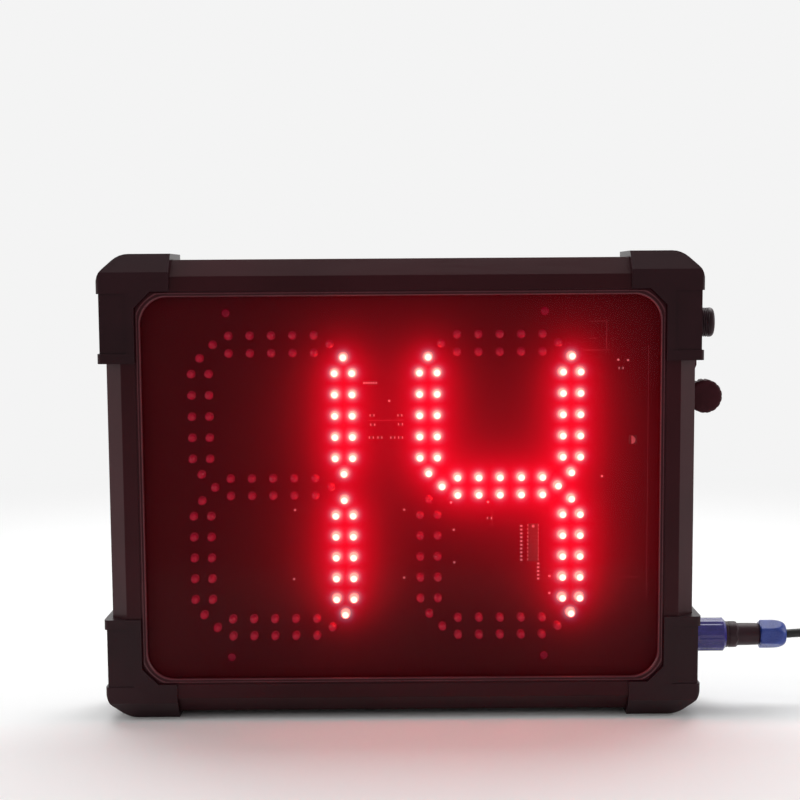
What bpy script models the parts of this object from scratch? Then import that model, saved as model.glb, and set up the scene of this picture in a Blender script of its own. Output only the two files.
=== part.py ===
# Outdoor two-digit LED countdown timer: framed case, digit board, side sockets and power lead.
# Metres, +Z up, front towards -Y. The case centre is the empty that the case's pieces hang from.
import bpy
import bmesh
from math import ceil, cos, pi, radians, sin, sqrt
from mathutils import Matrix, Vector

# Driving sizes

FIT_GAP = 0.0003                # running clearance between neighbouring pieces

# Case frame: four rails and four corner pieces
FRAME_WIDTH = 0.386
FRAME_HEIGHT = 0.300
CASE_DEPTH = 0.062
RAIL_WIDTH = 0.0205
RAIL_CHAMFER = 0.011
RAIL_WALL = 0.0025
RAIL_LIP_WALL = 0.0021           # the outer wall behind the rear flange
RAIL_SHELF = 0.0025
RAIL_END_INSET = 0.026
REAR_FLANGE_REACH = 0.016
REAR_LIP = 0.0035               # how far the rail's outer wall stands behind the back panel
CORNER_PROUD = 0.004            # corner pieces stand out of the rails on the outer sides
CORNER_FRONT_PROUD = 0.0018
CORNER_LEG_ACROSS = 0.0475
CORNER_LEG_UP = 0.071           # upright legs of the top corner pieces
CORNER_LEG_DOWN = 0.0682        # upright legs of the bottom ones
CORNER_CUT = 0.014              # 45 degree cut of the case's outer corners
CORNER_RADIUS = 0.0145          # round at both ends of that cut
CORNER_CHAMFER_RISE = 0.012     # height of the sloping plane along the corner's top or bottom
CORNER_EDGE_RADIUS = 0.003      # round of the leg's outer front edge
CORNER_WALL = 0.008             # moulded wall round the hollow inside a corner
OPENING_CUT = 0.0105            # 45 degree cut in each corner of the front opening
RECESS_DEPTH = 0.0018           # on the side
RECESS_FRONT_DEPTH = 0.0008     # on the leg's front
RECESS_FROM_END = 0.0065        # height of the lip at the end of the corner's upright leg
RECESS_LENGTH = 0.0387
RECESS_ACROSS = 0.019           # how far the recess runs in over the leg's front

# Window and its rubber rim
WINDOW_THICKNESS = 0.003
WINDOW_LAP = 0.0065             # how far the window runs behind the rail's front flange
GASKET_WIDTH = 0.0028
GASKET_STANDS = 0.0022
GASKET_INNER_RADIUS = 0.018

# Back panel
PANEL_THICKNESS = 0.003
PANEL_CORNER_RADIUS = 0.020
PANEL_SCREW_FROM_RAIL_END = 0.047
SCREW_RADIUS = 0.0015
SCREW_HEAD_RADIUS = 0.0029
SCREW_HEAD_HEIGHT = 0.0022
SCREW_LENGTH = 0.009

# Digit board and its digits
BOARD_SIDE_MARGIN = 0.007       # from the opening's edge to the board's, at the sides
BOARD_END_MARGIN = 0.0055       # the same at the top and bottom
BOARD_THICKNESS = 0.002
BOARD_BEHIND_WINDOW = 0.009
DIGIT_PITCH = 0.150
DIGITS_SHIFT = -0.010           # the pair of digits sits left of the case's middle
DIGITS_RAISE = 0.0003
DIGIT_END_MARGIN = 0.0295       # from the board's top edge to the middle line of the top segments
SEGMENT_STRIP_WIDTH = 0.0165
SEGMENT_STRIP_THICKNESS = 0.0006
SEGMENT_TIP_GAP = 0.0005
LED_PITCH = 0.014
LED_ROW_SPACING = 0.0115
LED_END_INSET = 0.00875         # from the crossing of two segments to the single end LED
LED_RADIUS = 0.0025
LED_HEIGHT = 0.0082
LED_DOME = 0.0022
LED_TIP_RADIUS = 0.0012
BOARD_SCREW_ACROSS = 0.2092
BOARD_SCREW_BEYOND = 0.0206     # from the top segments' middle line up to the board screws
STANDOFF_RADIUS = 0.0035
SPIGOT_RADIUS = 0.0025
DRIVER_CHIP = (0.0076, 0.0038, 0.0254)
DRIVER_CHIP_PLACE = (0.0870, -0.0378)
RECEIVER_SIZE = (0.0055, 0.0060)
RECEIVER_PLACE = (0.1530, 0.0302)
RECEIVER_DEPTH = 0.0045

# Boards and converter inside the case
CONTROL_BOARD = (0.078, 0.0016, 0.054)
CONTROL_BOARD_PLACE = (0.082, 0.036)
HEADER_SIZE = (0.040, 0.0110, 0.0055)
CONTROL_CHIP = (0.012, 0.0018, 0.012)
POWER_MODULE = (0.062, 0.020, 0.042)
POWER_MODULE_PLACE = (0.082, -0.062)
MODULE_FLANGE = (0.010, 0.003)
WIRE_RADIUS = 0.0018
WIRE_STRAIGHT_END = 0.014       # how far a wire runs straight out of what it is joined to
WIRE_SLACK = 0.008

# Side sockets on the right, in the middle of the corner pieces' upright legs
SOCKET_FROM_BACK = 0.021        # from the case's rear edge to the sockets' axes
SOCKET_FROM_END = 0.0475        # from the corner pieces' top or bottom to the socket's axis
SOCKET_BARREL_RADIUS = 0.0098
SOCKET_BARREL_LENGTH = 0.0124
SOCKET_SHANK_RADIUS = 0.0077
SOCKET_SHANK_LENGTH = 0.018
SOCKET_BORE_RADIUS = 0.0070
SOCKET_BORE_DEPTH = 0.0085
NUT_FLATS = 0.0205
NUT_THICKNESS = 0.004

# Mated plug of the power lead
PLUG_FLANGE_LENGTH = 0.0072
PLUG_NOSE_LENGTH = 0.0075
PLUG_FRONT_RADIUS = 0.0089
PLUG_FRONT_LENGTH = 0.0114
PLUG_REAR_RADIUS = 0.0076
PLUG_REAR_LENGTH = 0.0151
PLUG_SPIGOT_RADIUS = 0.0062
PLUG_SPIGOT_LENGTH = 0.0110
RING_RADIUS = 0.0114
RING_FLUTES = 14
RING_FLUTE_DEPTH = 0.0007
RING_LIP = 0.003
RING_STANDS_OFF = 0.0016        # from the corner's side face to the coupling ring
GLAND_FLATS = 0.0172
GLAND_LENGTH = 0.0180
GLAND_HEX_LENGTH = 0.0095
GLAND_MOUTH_RADIUS = 0.0058

# Dust cap of the spare socket, on its strap
CAP_RADIUS = 0.0113
CAP_LENGTH = 0.012
CAP_FLUTES = 16
CAP_FLUTE_DEPTH = 0.0006
CAP_FLOOR = 0.002
CAP_PLUMB_SHIFT = 0.002          # puts the cap's weight straight under the socket's axis
CAP_HANG = 0.0496               # from the socket's axis to the middle of the cap
STRAP_THICKNESS = 0.0013
STRAP_WIDTH = 0.004
STRAP_RING_WIDTH = 0.0022
STRAP_STEP_IN_AT = 0.030        # from the socket's axis to where the strap bends in beside the rail

# Power lead
CORD_RADIUS = 0.003
COIL_CENTRE = (0.3665, 0.0133)
COIL_INNER_RADIUS = 0.0208
COIL_OUTER_RADIUS = 0.0475
COIL_HEIGHT = 0.0124
TIE_WIDTH = 0.010
TIE_THICKNESS = 0.0008
DC_PLUG_RADIUS = 0.0055
DC_PLUG_LENGTH = 0.034
DC_BARREL_RADIUS = 0.00275
DC_BARREL_LENGTH = 0.0095
DC_PLUG_START = (0.3325, 0.0575)
DC_PLUG_HEADING = 180           # degrees from +X, seen from above

# The cord's route where it isn't coiled, chosen by hand, after its start in the gland nut
LEAD_ROUTE = [
    (0.2500, 0.0100, 0.0475), (0.2567, 0.0100, 0.0479), (0.2636, 0.0100, 0.0482), (0.2703, 0.0100, 0.0480),
    (0.2770, 0.0100, 0.0467), (0.2834, 0.0100, 0.0442), (0.2893, 0.0100, 0.0405), (0.2945, 0.0100, 0.0360),
    (0.2987, 0.0096, 0.0308), (0.3021, 0.0089, 0.0247), (0.3056, 0.0079, 0.0189), (0.3098, 0.0063, 0.0141),
    (0.3145, 0.0037, 0.0100), (0.3179, 0.0012, 0.0079),
]
TAIL_ROUTE = [(0.3424, 0.0575, 0.0067), (0.3368, 0.0575, 0.0059), (0.3328, 0.0575, 0.0058)]

# Values that follow from the sizes above

FRONT_Y = -CASE_DEPTH / 2
BACK_Y = CASE_DEPTH / 2
RAIL_FRONT_Y = FRONT_Y + CORNER_FRONT_PROUD
HALF_FRAME_X = FRAME_WIDTH / 2
HALF_FRAME_Z = FRAME_HEIGHT / 2
HALF_CASE_X = HALF_FRAME_X + CORNER_PROUD
HALF_CASE_Z = HALF_FRAME_Z + CORNER_PROUD
OPENING_X = HALF_FRAME_X - RAIL_WIDTH
OPENING_Z = HALF_FRAME_Z - RAIL_WIDTH
BOARD_HALF_X = OPENING_X - BOARD_SIDE_MARGIN
BOARD_HALF_Z = OPENING_Z - BOARD_END_MARGIN
# Between the middle lines of neighbouring level segments, and of a digit's upright ones
SEGMENT_PITCH = BOARD_HALF_Z - DIGITS_RAISE - DIGIT_END_MARGIN
WINDOW_FRONT_Y = RAIL_FRONT_Y + RAIL_WALL + FIT_GAP
WINDOW_BACK_Y = WINDOW_FRONT_Y + WINDOW_THICKNESS
SHELF_FRONT_Y = WINDOW_BACK_Y + FIT_GAP
SHELF_BACK_Y = SHELF_FRONT_Y + RAIL_SHELF
PANEL_BACK_Y = BACK_Y - REAR_LIP
PANEL_FRONT_Y = PANEL_BACK_Y - PANEL_THICKNESS
FLANGE_BACK_Y = PANEL_FRONT_Y - FIT_GAP
FLANGE_FRONT_Y = FLANGE_BACK_Y - RAIL_WALL
BOARD_FRONT_Y = WINDOW_BACK_Y + BOARD_BEHIND_WINDOW
BOARD_BACK_Y = BOARD_FRONT_Y + BOARD_THICKNESS
STRIP_BACK_Y = BOARD_FRONT_Y - FIT_GAP
SOCKET_DEPTH_PLACE = BACK_Y - SOCKET_FROM_BACK
SOCKET_FOOT_X = HALF_CASE_X - RECESS_DEPTH + FIT_GAP
SOCKET_MOUTH_X = HALF_CASE_X + SOCKET_BARREL_LENGTH
HOLE_RADIUS = SOCKET_SHANK_RADIUS + FIT_GAP
SCREW_HOLE_RADIUS = SCREW_RADIUS + FIT_GAP
THREAD_BORE_RADIUS = SOCKET_BARREL_RADIUS + FIT_GAP

# The coupling ring reaches furthest to the right of the pieces that the case holds,
# and the origin is under the middle of them all.
FLANGE_START_X = SOCKET_MOUTH_X + FIT_GAP
FLANGE_END_X = FLANGE_START_X + PLUG_FLANGE_LENGTH
RING_START_X = HALF_CASE_X + RING_STANDS_OFF
RING_END_X = FLANGE_END_X + FIT_GAP + RING_LIP
PLUG_FRONT_END_X = FLANGE_END_X + PLUG_FRONT_LENGTH
PLUG_REAR_END_X = PLUG_FRONT_END_X + PLUG_REAR_LENGTH
PLUG_SPIGOT_END_X = PLUG_REAR_END_X + PLUG_SPIGOT_LENGTH
GLAND_START_X = PLUG_REAR_END_X + FIT_GAP
GLAND_END_X = GLAND_START_X + GLAND_LENGTH
CASE_CENTRE = Vector((-(RING_END_X - HALF_CASE_X) / 2, 0, HALF_CASE_Z))

LEAD_Z = SOCKET_FROM_END - HALF_CASE_Z
SPARE_Z = HALF_CASE_Z - SOCKET_FROM_END

ARC_STEPS = 6
ROUND_STEPS = 32
COIL_STEPS = 28


# Scene set-up

for old in list(bpy.data.objects):
    bpy.data.objects.remove(old, do_unlink=True)

parts = bpy.data.collections.new("countdown_timer")
tools = bpy.data.collections.new("cutters")
bpy.context.scene.collection.children.link(parts)
bpy.context.scene.collection.children.link(tools)

case = bpy.data.objects.new("case_centre", None)
case.location = CASE_CENTRE
parts.objects.link(case)

ALONG_X = Matrix(((0, 0, 1, 0), (1, 0, 0, 0), (0, 1, 0, 0), (0, 0, 0, 1)))
ALONG_Y = Matrix(((1, 0, 0, 0), (0, 0, -1, 0), (0, 1, 0, 0), (0, 0, 0, 1)))
ALONG_Z = Matrix.Identity(4)


def finish(obj, colour, roughness, metallic=0.0, parent=case):
    """Gives a piece its own material and its place in the assembly."""
    material = bpy.data.materials.new(obj.name)
    material.use_nodes = True
    shader = material.node_tree.nodes["Principled BSDF"]
    shader.inputs["Base Color"].default_value = (*colour, 1.0)
    shader.inputs["Roughness"].default_value = roughness
    shader.inputs["Metallic"].default_value = metallic
    obj.data.materials.clear()
    obj.data.materials.append(material)
    obj.parent = parent
    return obj


def as_cutter(obj, parent=case):
    """Keeps a shape as a guide for cuts, out of the built assembly."""
    obj.hide_render = True
    obj.display_type = "WIRE"
    obj.parent = parent
    return obj


def extruded(name, outlines, frame, start, end, into=parts):
    """A flat outline, with holes where outlines nest, extruded between two places along an axis."""
    curve = bpy.data.curves.new(name, "CURVE")
    curve.dimensions = "2D"
    curve.fill_mode = "BOTH"
    curve.extrude = abs(end - start) / 2
    for outline in outlines:
        spline = curve.splines.new("POLY")
        spline.points.add(len(outline) - 1)
        for point, (a, b) in zip(spline.points, outline):
            point.co = (a, b, 0, 1)
        spline.use_cyclic_u = True
    source = bpy.data.objects.new(name, curve)
    tools.objects.link(source)
    source.matrix_world = frame
    bpy.context.view_layer.update()
    evaluated = source.evaluated_get(bpy.context.evaluated_depsgraph_get())
    mesh = bpy.data.meshes.new_from_object(evaluated)
    bm = bmesh.new()
    bm.from_mesh(mesh)
    bmesh.ops.remove_doubles(bm, verts=bm.verts, dist=1e-6)
    bmesh.ops.transform(bm, matrix=frame, verts=bm.verts)
    shift = frame.to_3x3() @ Vector((0, 0, 1))
    middle = (start + end) / 2 * (1 if sum(shift) > 0 else -1)
    bmesh.ops.translate(bm, vec=shift * middle, verts=bm.verts)
    bmesh.ops.recalc_face_normals(bm, faces=bm.faces)
    bm.to_mesh(mesh)
    bm.free()
    bpy.data.objects.remove(source)
    bpy.data.curves.remove(curve)
    mesh.name = name
    obj = bpy.data.objects.new(name, mesh)
    into.objects.link(obj)
    return obj


def turned(name, profile, frame, place, steps=ROUND_STEPS, into=parts, closed=False):
    """A profile of (along, radius) points turned about an axis, given from one end to the other."""
    mesh = bpy.data.meshes.new(name)
    points = [(radius, 0, along) for along, radius in reversed(profile)]
    edges = [(i, i + 1) for i in range(len(points) - 1)]
    if closed:
        edges.append((len(points) - 1, 0))
    mesh.from_pydata(points, edges, [])
    obj = bpy.data.objects.new(name, mesh)
    into.objects.link(obj)
    screw = obj.modifiers.new("turn", "SCREW")
    screw.axis = "Z"
    screw.angle = 2 * pi
    screw.steps = steps
    screw.render_steps = steps
    screw.use_merge_vertices = True
    screw.merge_threshold = 0.00001
    obj.matrix_local = Matrix.Translation(place) @ frame
    return obj


def box(name, size, centre, into=parts):
    """A plain block by its size and centre."""
    mesh = bpy.data.meshes.new(name)
    bm = bmesh.new()
    bmesh.ops.create_cube(bm, size=1)
    bmesh.ops.scale(bm, vec=size, verts=bm.verts)
    bmesh.ops.translate(bm, vec=centre, verts=bm.verts)
    bm.to_mesh(mesh)
    bm.free()
    obj = bpy.data.objects.new(name, mesh)
    into.objects.link(obj)
    return obj


def cylinder(name, radius, frame, start, end, place=(0, 0), steps=ROUND_STEPS, into=tools):
    """A round bar along one axis of the case, by its two ends and its place across that axis."""
    ring = [(place[0] + radius * cos(2 * pi * i / steps), place[1] + radius * sin(2 * pi * i / steps))
            for i in range(steps)]
    return extruded(name, [ring], frame, start, end, into)


def boolean(obj, other, operation="DIFFERENCE"):
    modifier = obj.modifiers.new(operation.lower(), "BOOLEAN")
    modifier.operation = operation
    modifier.solver = "EXACT"
    modifier.object = other


def rounded(obj, width, segments=2):
    """Softens a piece's sharp edges."""
    bevel = obj.modifiers.new("soft_edges", "BEVEL")
    bevel.width = width
    bevel.segments = segments
    bevel.limit_method = "ANGLE"
    bevel.angle_limit = radians(40)


def settled(obj):
    """Applies a piece's modifiers, so that its mesh can be shared."""
    bpy.context.view_layer.update()
    evaluated = obj.evaluated_get(bpy.context.evaluated_depsgraph_get())
    return bpy.data.meshes.new_from_object(evaluated)


# Outlines in the plane of the front, as (x, z)

def rectangle(half_x, half_z):
    return [(-half_x, -half_z), (half_x, -half_z), (half_x, half_z), (-half_x, half_z)]


def cut_rectangle(half_x, half_z, cut):
    """A rectangle with 45 degree corners."""
    points = []
    for sx, sz in ((1, 1), (-1, 1), (-1, -1), (1, -1)):
        pair = [(sx * half_x, sz * (half_z - cut)), (sx * (half_x - cut), sz * half_z)]
        points += pair if sx * sz > 0 else pair[::-1]
    return points


def round_rectangle(half_x, half_z, radius, steps=ARC_STEPS):
    points = []
    for corner, (sx, sz) in enumerate(((1, 1), (-1, 1), (-1, -1), (1, -1))):
        for i in range(steps + 1):
            angle = corner * pi / 2 + i * pi / 2 / steps
            points.append((sx * (half_x - radius) + radius * cos(angle),
                           sz * (half_z - radius) + radius * sin(angle)))
    return points


def cut_and_rounded(half_x, half_z, cut, radius, steps=4):
    """A rectangle with 45 degree corners whose ends run into the sides in arcs."""
    points = []
    near = cut + radius * (sqrt(2) - 1)
    for sx, sz in ((1, 1), (-1, 1), (-1, -1), (1, -1)):
        quarter = []
        for part, (x, z) in enumerate(((half_x - radius, half_z - near), (half_x - near, half_z - radius))):
            for i in range(steps + 1):
                angle = (part + i / steps) * pi / 4
                quarter.append((sx * (x + radius * cos(angle)), sz * (z + radius * sin(angle))))
        points += quarter if sx * sz > 0 else quarter[::-1]
    return points


def circle(radius, centre=(0, 0), steps=ROUND_STEPS, phase=0.0):
    return [(centre[0] + radius * cos(phase + 2 * pi * i / steps),
             centre[1] + radius * sin(phase + 2 * pi * i / steps)) for i in range(steps)]


def fluted(radius, depth, flutes, centre=(0, 0)):
    """A grip outline: flat-topped ribs with a groove between each two."""
    points = []
    for i in range(flutes):
        for share, level in ((0.0, 0), (0.28, 0), (0.56, 0), (0.78, 1)):
            angle = 2 * pi * (i + share) / flutes
            reach = radius - depth * level
            points.append((centre[0] + reach * cos(angle), centre[1] + reach * sin(angle)))
    return points


def hexagon(flats, centre, phase):
    return circle(flats / 2 / cos(pi / 6), centre, 6, phase)


# Rails

def rail_section():
    """The rail's section as (inward, y): chamfered nose, window groove, shelf, channel, rear flange."""
    slope = RAIL_CHAMFER + RAIL_WALL * (sqrt(2) - 1)
    return [
        (0, RAIL_FRONT_Y + RAIL_CHAMFER),
        (RAIL_CHAMFER, RAIL_FRONT_Y),
        (RAIL_WIDTH, RAIL_FRONT_Y),
        (RAIL_WIDTH, RAIL_FRONT_Y + RAIL_WALL),
        (RAIL_WIDTH - WINDOW_LAP - FIT_GAP, RAIL_FRONT_Y + RAIL_WALL),
        (RAIL_WIDTH - WINDOW_LAP - FIT_GAP, SHELF_FRONT_Y),
        (RAIL_WIDTH, SHELF_FRONT_Y),
        (RAIL_WIDTH, SHELF_BACK_Y),
        (RAIL_WALL, max(SHELF_BACK_Y, RAIL_FRONT_Y + slope)),
        (RAIL_WALL, FLANGE_FRONT_Y),
        (REAR_FLANGE_REACH, FLANGE_FRONT_Y),
        (REAR_FLANGE_REACH, FLANGE_BACK_Y),
        (RAIL_LIP_WALL, FLANGE_BACK_Y),
        (RAIL_LIP_WALL, BACK_Y),
        (0, BACK_Y),
    ]


def rail_hull(gap):
    """The room that a rail's end takes in a corner piece, open to the back."""
    past = BACK_Y + CORNER_PROUD
    return [
        (-gap, RAIL_FRONT_Y + RAIL_CHAMFER - gap * (sqrt(2) - 1)),
        (RAIL_CHAMFER - gap * (sqrt(2) - 1), RAIL_FRONT_Y - gap),
        (RAIL_WIDTH + gap, RAIL_FRONT_Y - gap),
        (RAIL_WIDTH + gap, past),
        (-gap, past),
    ]


def upright_bar(name, section, side, start, end, into=parts):
    """A section of (inward, y) points along Z, on the left (-1) or right (+1) of the case."""
    outline = [(side * (HALF_FRAME_X - u), y) for u, y in section]
    return extruded(name, [outline], ALONG_Z, start, end, into)


def level_bar(name, section, side, start, end, into=parts):
    """A section of (inward, y) points along X, at the top (+1) or bottom (-1) of the case."""
    outline = [(y, side * (HALF_FRAME_Z - u)) for u, y in section]
    return extruded(name, [outline], ALONG_X, start, end, into)


BLACK_ALUMINIUM = (0.016, 0.012, 0.013)
BLACK_PLASTIC = (0.012, 0.009, 0.010)

rail_x = HALF_FRAME_X - RAIL_END_INSET
rail_z = HALF_FRAME_Z - RAIL_END_INSET
screw_row = HALF_FRAME_Z - (RAIL_WALL + REAR_FLANGE_REACH) / 2
screw_column = rail_x - PANEL_SCREW_FROM_RAIL_END
screw_places = [(sx * screw_column, sz * screw_row) for sz in (1, -1) for sx in (-1, 1)]

screw_drill = extruded("screw_drill", [circle(SCREW_HOLE_RADIUS, place, 12) for place in screw_places],
                       ALONG_Y, FLANGE_FRONT_Y - RAIL_WALL, BACK_Y, tools)
as_cutter(screw_drill)
for name, side in (("top_rail", 1), ("bottom_rail", -1)):
    rail = level_bar(name, rail_section(), side, -rail_x, rail_x)
    boolean(rail, screw_drill)
    finish(rail, BLACK_ALUMINIUM, 0.45, 0.6)

socket_drill = extruded(
    "socket_drill",
    [circle(HOLE_RADIUS, (SOCKET_DEPTH_PLACE, z), 24) for z in (LEAD_Z, SPARE_Z)],
    ALONG_X, rail_x, HALF_CASE_X + CORNER_PROUD, tools)
as_cutter(socket_drill)
for name, side in (("left_rail", -1), ("right_rail", 1)):
    rail = upright_bar(name, rail_section(), side, -rail_z, rail_z)
    if side > 0:
        boolean(rail, socket_drill)
    finish(rail, BLACK_ALUMINIUM, 0.45, 0.6)


# Corner pieces

def case_block(name, inset=0.0, front_inset=0.0, edge=0.0):
    """The outer form of the case at its corner pieces, with the front's slopes and side edges."""
    half_x = HALF_CASE_X - inset
    half_z = HALF_CASE_Z - inset
    front = FRONT_Y + front_inset
    past = BACK_Y + CORNER_PROUD
    outline = cut_and_rounded(half_x, half_z, CORNER_CUT - inset * (2 - sqrt(2)), CORNER_RADIUS - inset)
    block = extruded(name, [outline], ALONG_Y, front, BACK_Y + inset, tools)
    slopes = [(front, half_z - CORNER_CHAMFER_RISE), (front + RAIL_CHAMFER, half_z), (past, half_z)]
    slopes += [(y, -z) for y, z in slopes[::-1]]
    side_view = extruded(f"{name}_slopes", [slopes], ALONG_X, -half_x - far, half_x + far, tools)
    boolean(block, as_cutter(side_view), "INTERSECT")
    if edge:
        right = [(half_x, past)]
        for i in range(5):
            angle = i * pi / 8
            right.append((half_x - edge + edge * cos(angle), front + edge - edge * sin(angle)))
        plan = right + [(-x, y) for x, y in right[::-1]]
        plan_view = extruded(f"{name}_edges", [plan], ALONG_Z, -half_z - far, half_z + far, tools)
        boolean(block, as_cutter(plan_view), "INTERSECT")
    return as_cutter(block)


def window_outline(grow):
    """The window's edge, cut at 45 degrees inside the corner pieces."""
    half_x = OPENING_X + WINDOW_LAP + grow
    half_z = OPENING_Z + WINDOW_LAP + grow
    return cut_rectangle(half_x, half_z, OPENING_CUT + WINDOW_LAP * (2 - sqrt(2)) + grow * (2 - sqrt(2)))


def panel_outline(grow):
    edge = RAIL_WALL + FIT_GAP - grow
    return round_rectangle(HALF_FRAME_X - edge, HALF_FRAME_Z - edge, PANEL_CORNER_RADIUS + grow)


far = CORNER_PROUD * 2
block = case_block("case_block", edge=CORNER_EDGE_RADIUS)
recess_core = case_block("recess_core", RECESS_DEPTH, RECESS_FRONT_DEPTH)
window_room = extruded("window_room", [window_outline(FIT_GAP)], ALONG_Y,
                       RAIL_FRONT_Y + RAIL_WALL, SHELF_FRONT_Y + FIT_GAP, tools)
hollow = extruded("corner_hollow",
                  [round_rectangle(HALF_CASE_X - CORNER_WALL, HALF_CASE_Z - CORNER_WALL, CORNER_CUT)],
                  ALONG_Y, SHELF_FRONT_Y, PANEL_FRONT_Y, tools)
panel_room = extruded("panel_room", [panel_outline(FIT_GAP)], ALONG_Y, PANEL_FRONT_Y - FIT_GAP * 2,
                      BACK_Y + far, tools)
for guide in (window_room, hollow, panel_room):
    as_cutter(guide)

for up, z_side, leg in (("top", 1, CORNER_LEG_UP), ("bottom", -1, CORNER_LEG_DOWN)):
    level_room = level_bar(f"{up}_rail_room", rail_hull(FIT_GAP), z_side,
                           -rail_x - FIT_GAP, rail_x + FIT_GAP, tools)
    as_cutter(level_room)
    for across, x_side in (("left", -1), ("right", 1)):
        upright_room = upright_bar(f"{up}_{across}_rail_room", rail_hull(FIT_GAP), x_side,
                                   -rail_z - FIT_GAP, rail_z + FIT_GAP, tools)
        as_cutter(upright_room)
        legs = [
            (HALF_CASE_X - CORNER_LEG_ACROSS, HALF_CASE_Z + far),
            (HALF_CASE_X + far, HALF_CASE_Z + far),
            (HALF_CASE_X + far, HALF_CASE_Z - leg),
            (OPENING_X, HALF_CASE_Z - leg),
            (OPENING_X, OPENING_Z - OPENING_CUT),
            (OPENING_X - OPENING_CUT, OPENING_Z),
            (HALF_CASE_X - CORNER_LEG_ACROSS, OPENING_Z),
        ]
        corner = extruded(f"{up}_{across}_corner", [[(x_side * x, z_side * z) for x, z in legs]],
                          ALONG_Y, FRONT_Y - far, BACK_Y)
        boolean(corner, block, "INTERSECT")
        for room in (level_room, upright_room, window_room, hollow, panel_room):
            boolean(corner, room)
        recess_end = HALF_CASE_Z - leg + RECESS_FROM_END
        band = box(f"{up}_{across}_recess", (CORNER_PROUD + RECESS_ACROSS, CASE_DEPTH + far, RECESS_LENGTH),
                   (x_side * (HALF_CASE_X + CORNER_PROUD / 2 - RECESS_ACROSS / 2), 0,
                    z_side * (recess_end + RECESS_LENGTH / 2)), tools)
        boolean(band, recess_core)
        as_cutter(band)
        boolean(corner, band)
        if x_side > 0:
            boolean(corner, socket_drill)
        finish(corner, BLACK_PLASTIC, 0.5)


# Window and rubber rim

window = extruded("front_window", [window_outline(0)], ALONG_Y, WINDOW_FRONT_Y, WINDOW_BACK_Y)
finish(window, (0.10, 0.02, 0.025), 0.12)

gasket = extruded(
    "window_gasket",
    [cut_rectangle(OPENING_X - FIT_GAP, OPENING_Z - FIT_GAP, OPENING_CUT),
     round_rectangle(OPENING_X - FIT_GAP - GASKET_WIDTH, OPENING_Z - FIT_GAP - GASKET_WIDTH,
                     GASKET_INNER_RADIUS)],
    ALONG_Y, WINDOW_FRONT_Y - FIT_GAP - GASKET_STANDS, WINDOW_FRONT_Y - FIT_GAP)
finish(gasket, (0.03, 0.015, 0.018), 0.6)


# Digit board, its screws and standoffs

digits_x = DIGITS_SHIFT
digits_z = DIGITS_RAISE
screw_rise = SEGMENT_PITCH + BOARD_SCREW_BEYOND
board_screws = [(digits_x + sx * BOARD_SCREW_ACROSS / 2, digits_z + sz * screw_rise)
                for sz in (1, -1) for sx in (-1, 1)]
board = extruded("digit_board",
                 [rectangle(BOARD_HALF_X, BOARD_HALF_Z)]
                 + [circle(SCREW_HOLE_RADIUS, place, 12) for place in board_screws],
                 ALONG_Y, BOARD_FRONT_Y, BOARD_BACK_Y)
finish(board, (0.02, 0.008, 0.01), 0.4)

corner_names = ("top_left", "top_right", "bottom_left", "bottom_right")
screw_reach = BOARD_BACK_Y + FIT_GAP + SCREW_LENGTH / 2
for where, (x, z) in zip(corner_names, board_screws):
    head_back = BOARD_FRONT_Y - FIT_GAP
    head_front = head_back - SCREW_HEAD_HEIGHT
    screw = turned(f"board_screw_{where}",
                   [(head_front, 0), (head_front, SCREW_HEAD_RADIUS * 0.7),
                    (head_front + SCREW_HEAD_HEIGHT / 2, SCREW_HEAD_RADIUS), (head_back, SCREW_HEAD_RADIUS),
                    (head_back, SCREW_RADIUS), (screw_reach, SCREW_RADIUS), (screw_reach, 0)],
                   ALONG_Y @ Matrix.Rotation(pi, 4, "X"), (x, 0, z), 10)
    finish(screw, (0.35, 0.34, 0.34), 0.35, 0.9)
    standoff_start = BOARD_BACK_Y + FIT_GAP
    well = screw_reach + FIT_GAP
    standoff = turned(f"board_standoff_{where}",
                      [(well, 0), (well, SCREW_HOLE_RADIUS), (standoff_start, SCREW_HOLE_RADIUS),
                       (standoff_start, STANDOFF_RADIUS), (PANEL_FRONT_Y - FIT_GAP, STANDOFF_RADIUS),
                       (PANEL_FRONT_Y - FIT_GAP, SPIGOT_RADIUS), (PANEL_BACK_Y, SPIGOT_RADIUS),
                       (PANEL_BACK_Y, 0)],
                      ALONG_Y @ Matrix.Rotation(pi, 4, "X"), (x, 0, z), 10)
    finish(standoff, (0.5, 0.42, 0.25), 0.35, 0.9)


# LED segments: twelve LEDs on one strip, in five pairs and a single at each end

def led_spots():
    """The twelve LED centres along a segment that lies level, as (along, across)."""
    pairs = [(i * LED_PITCH, side * LED_ROW_SPACING / 2) for i in range(-2, 3) for side in (-1, 1)]
    end = SEGMENT_PITCH / 2 - LED_END_INSET
    return pairs + [(-end, 0), (end, 0)]


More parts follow.
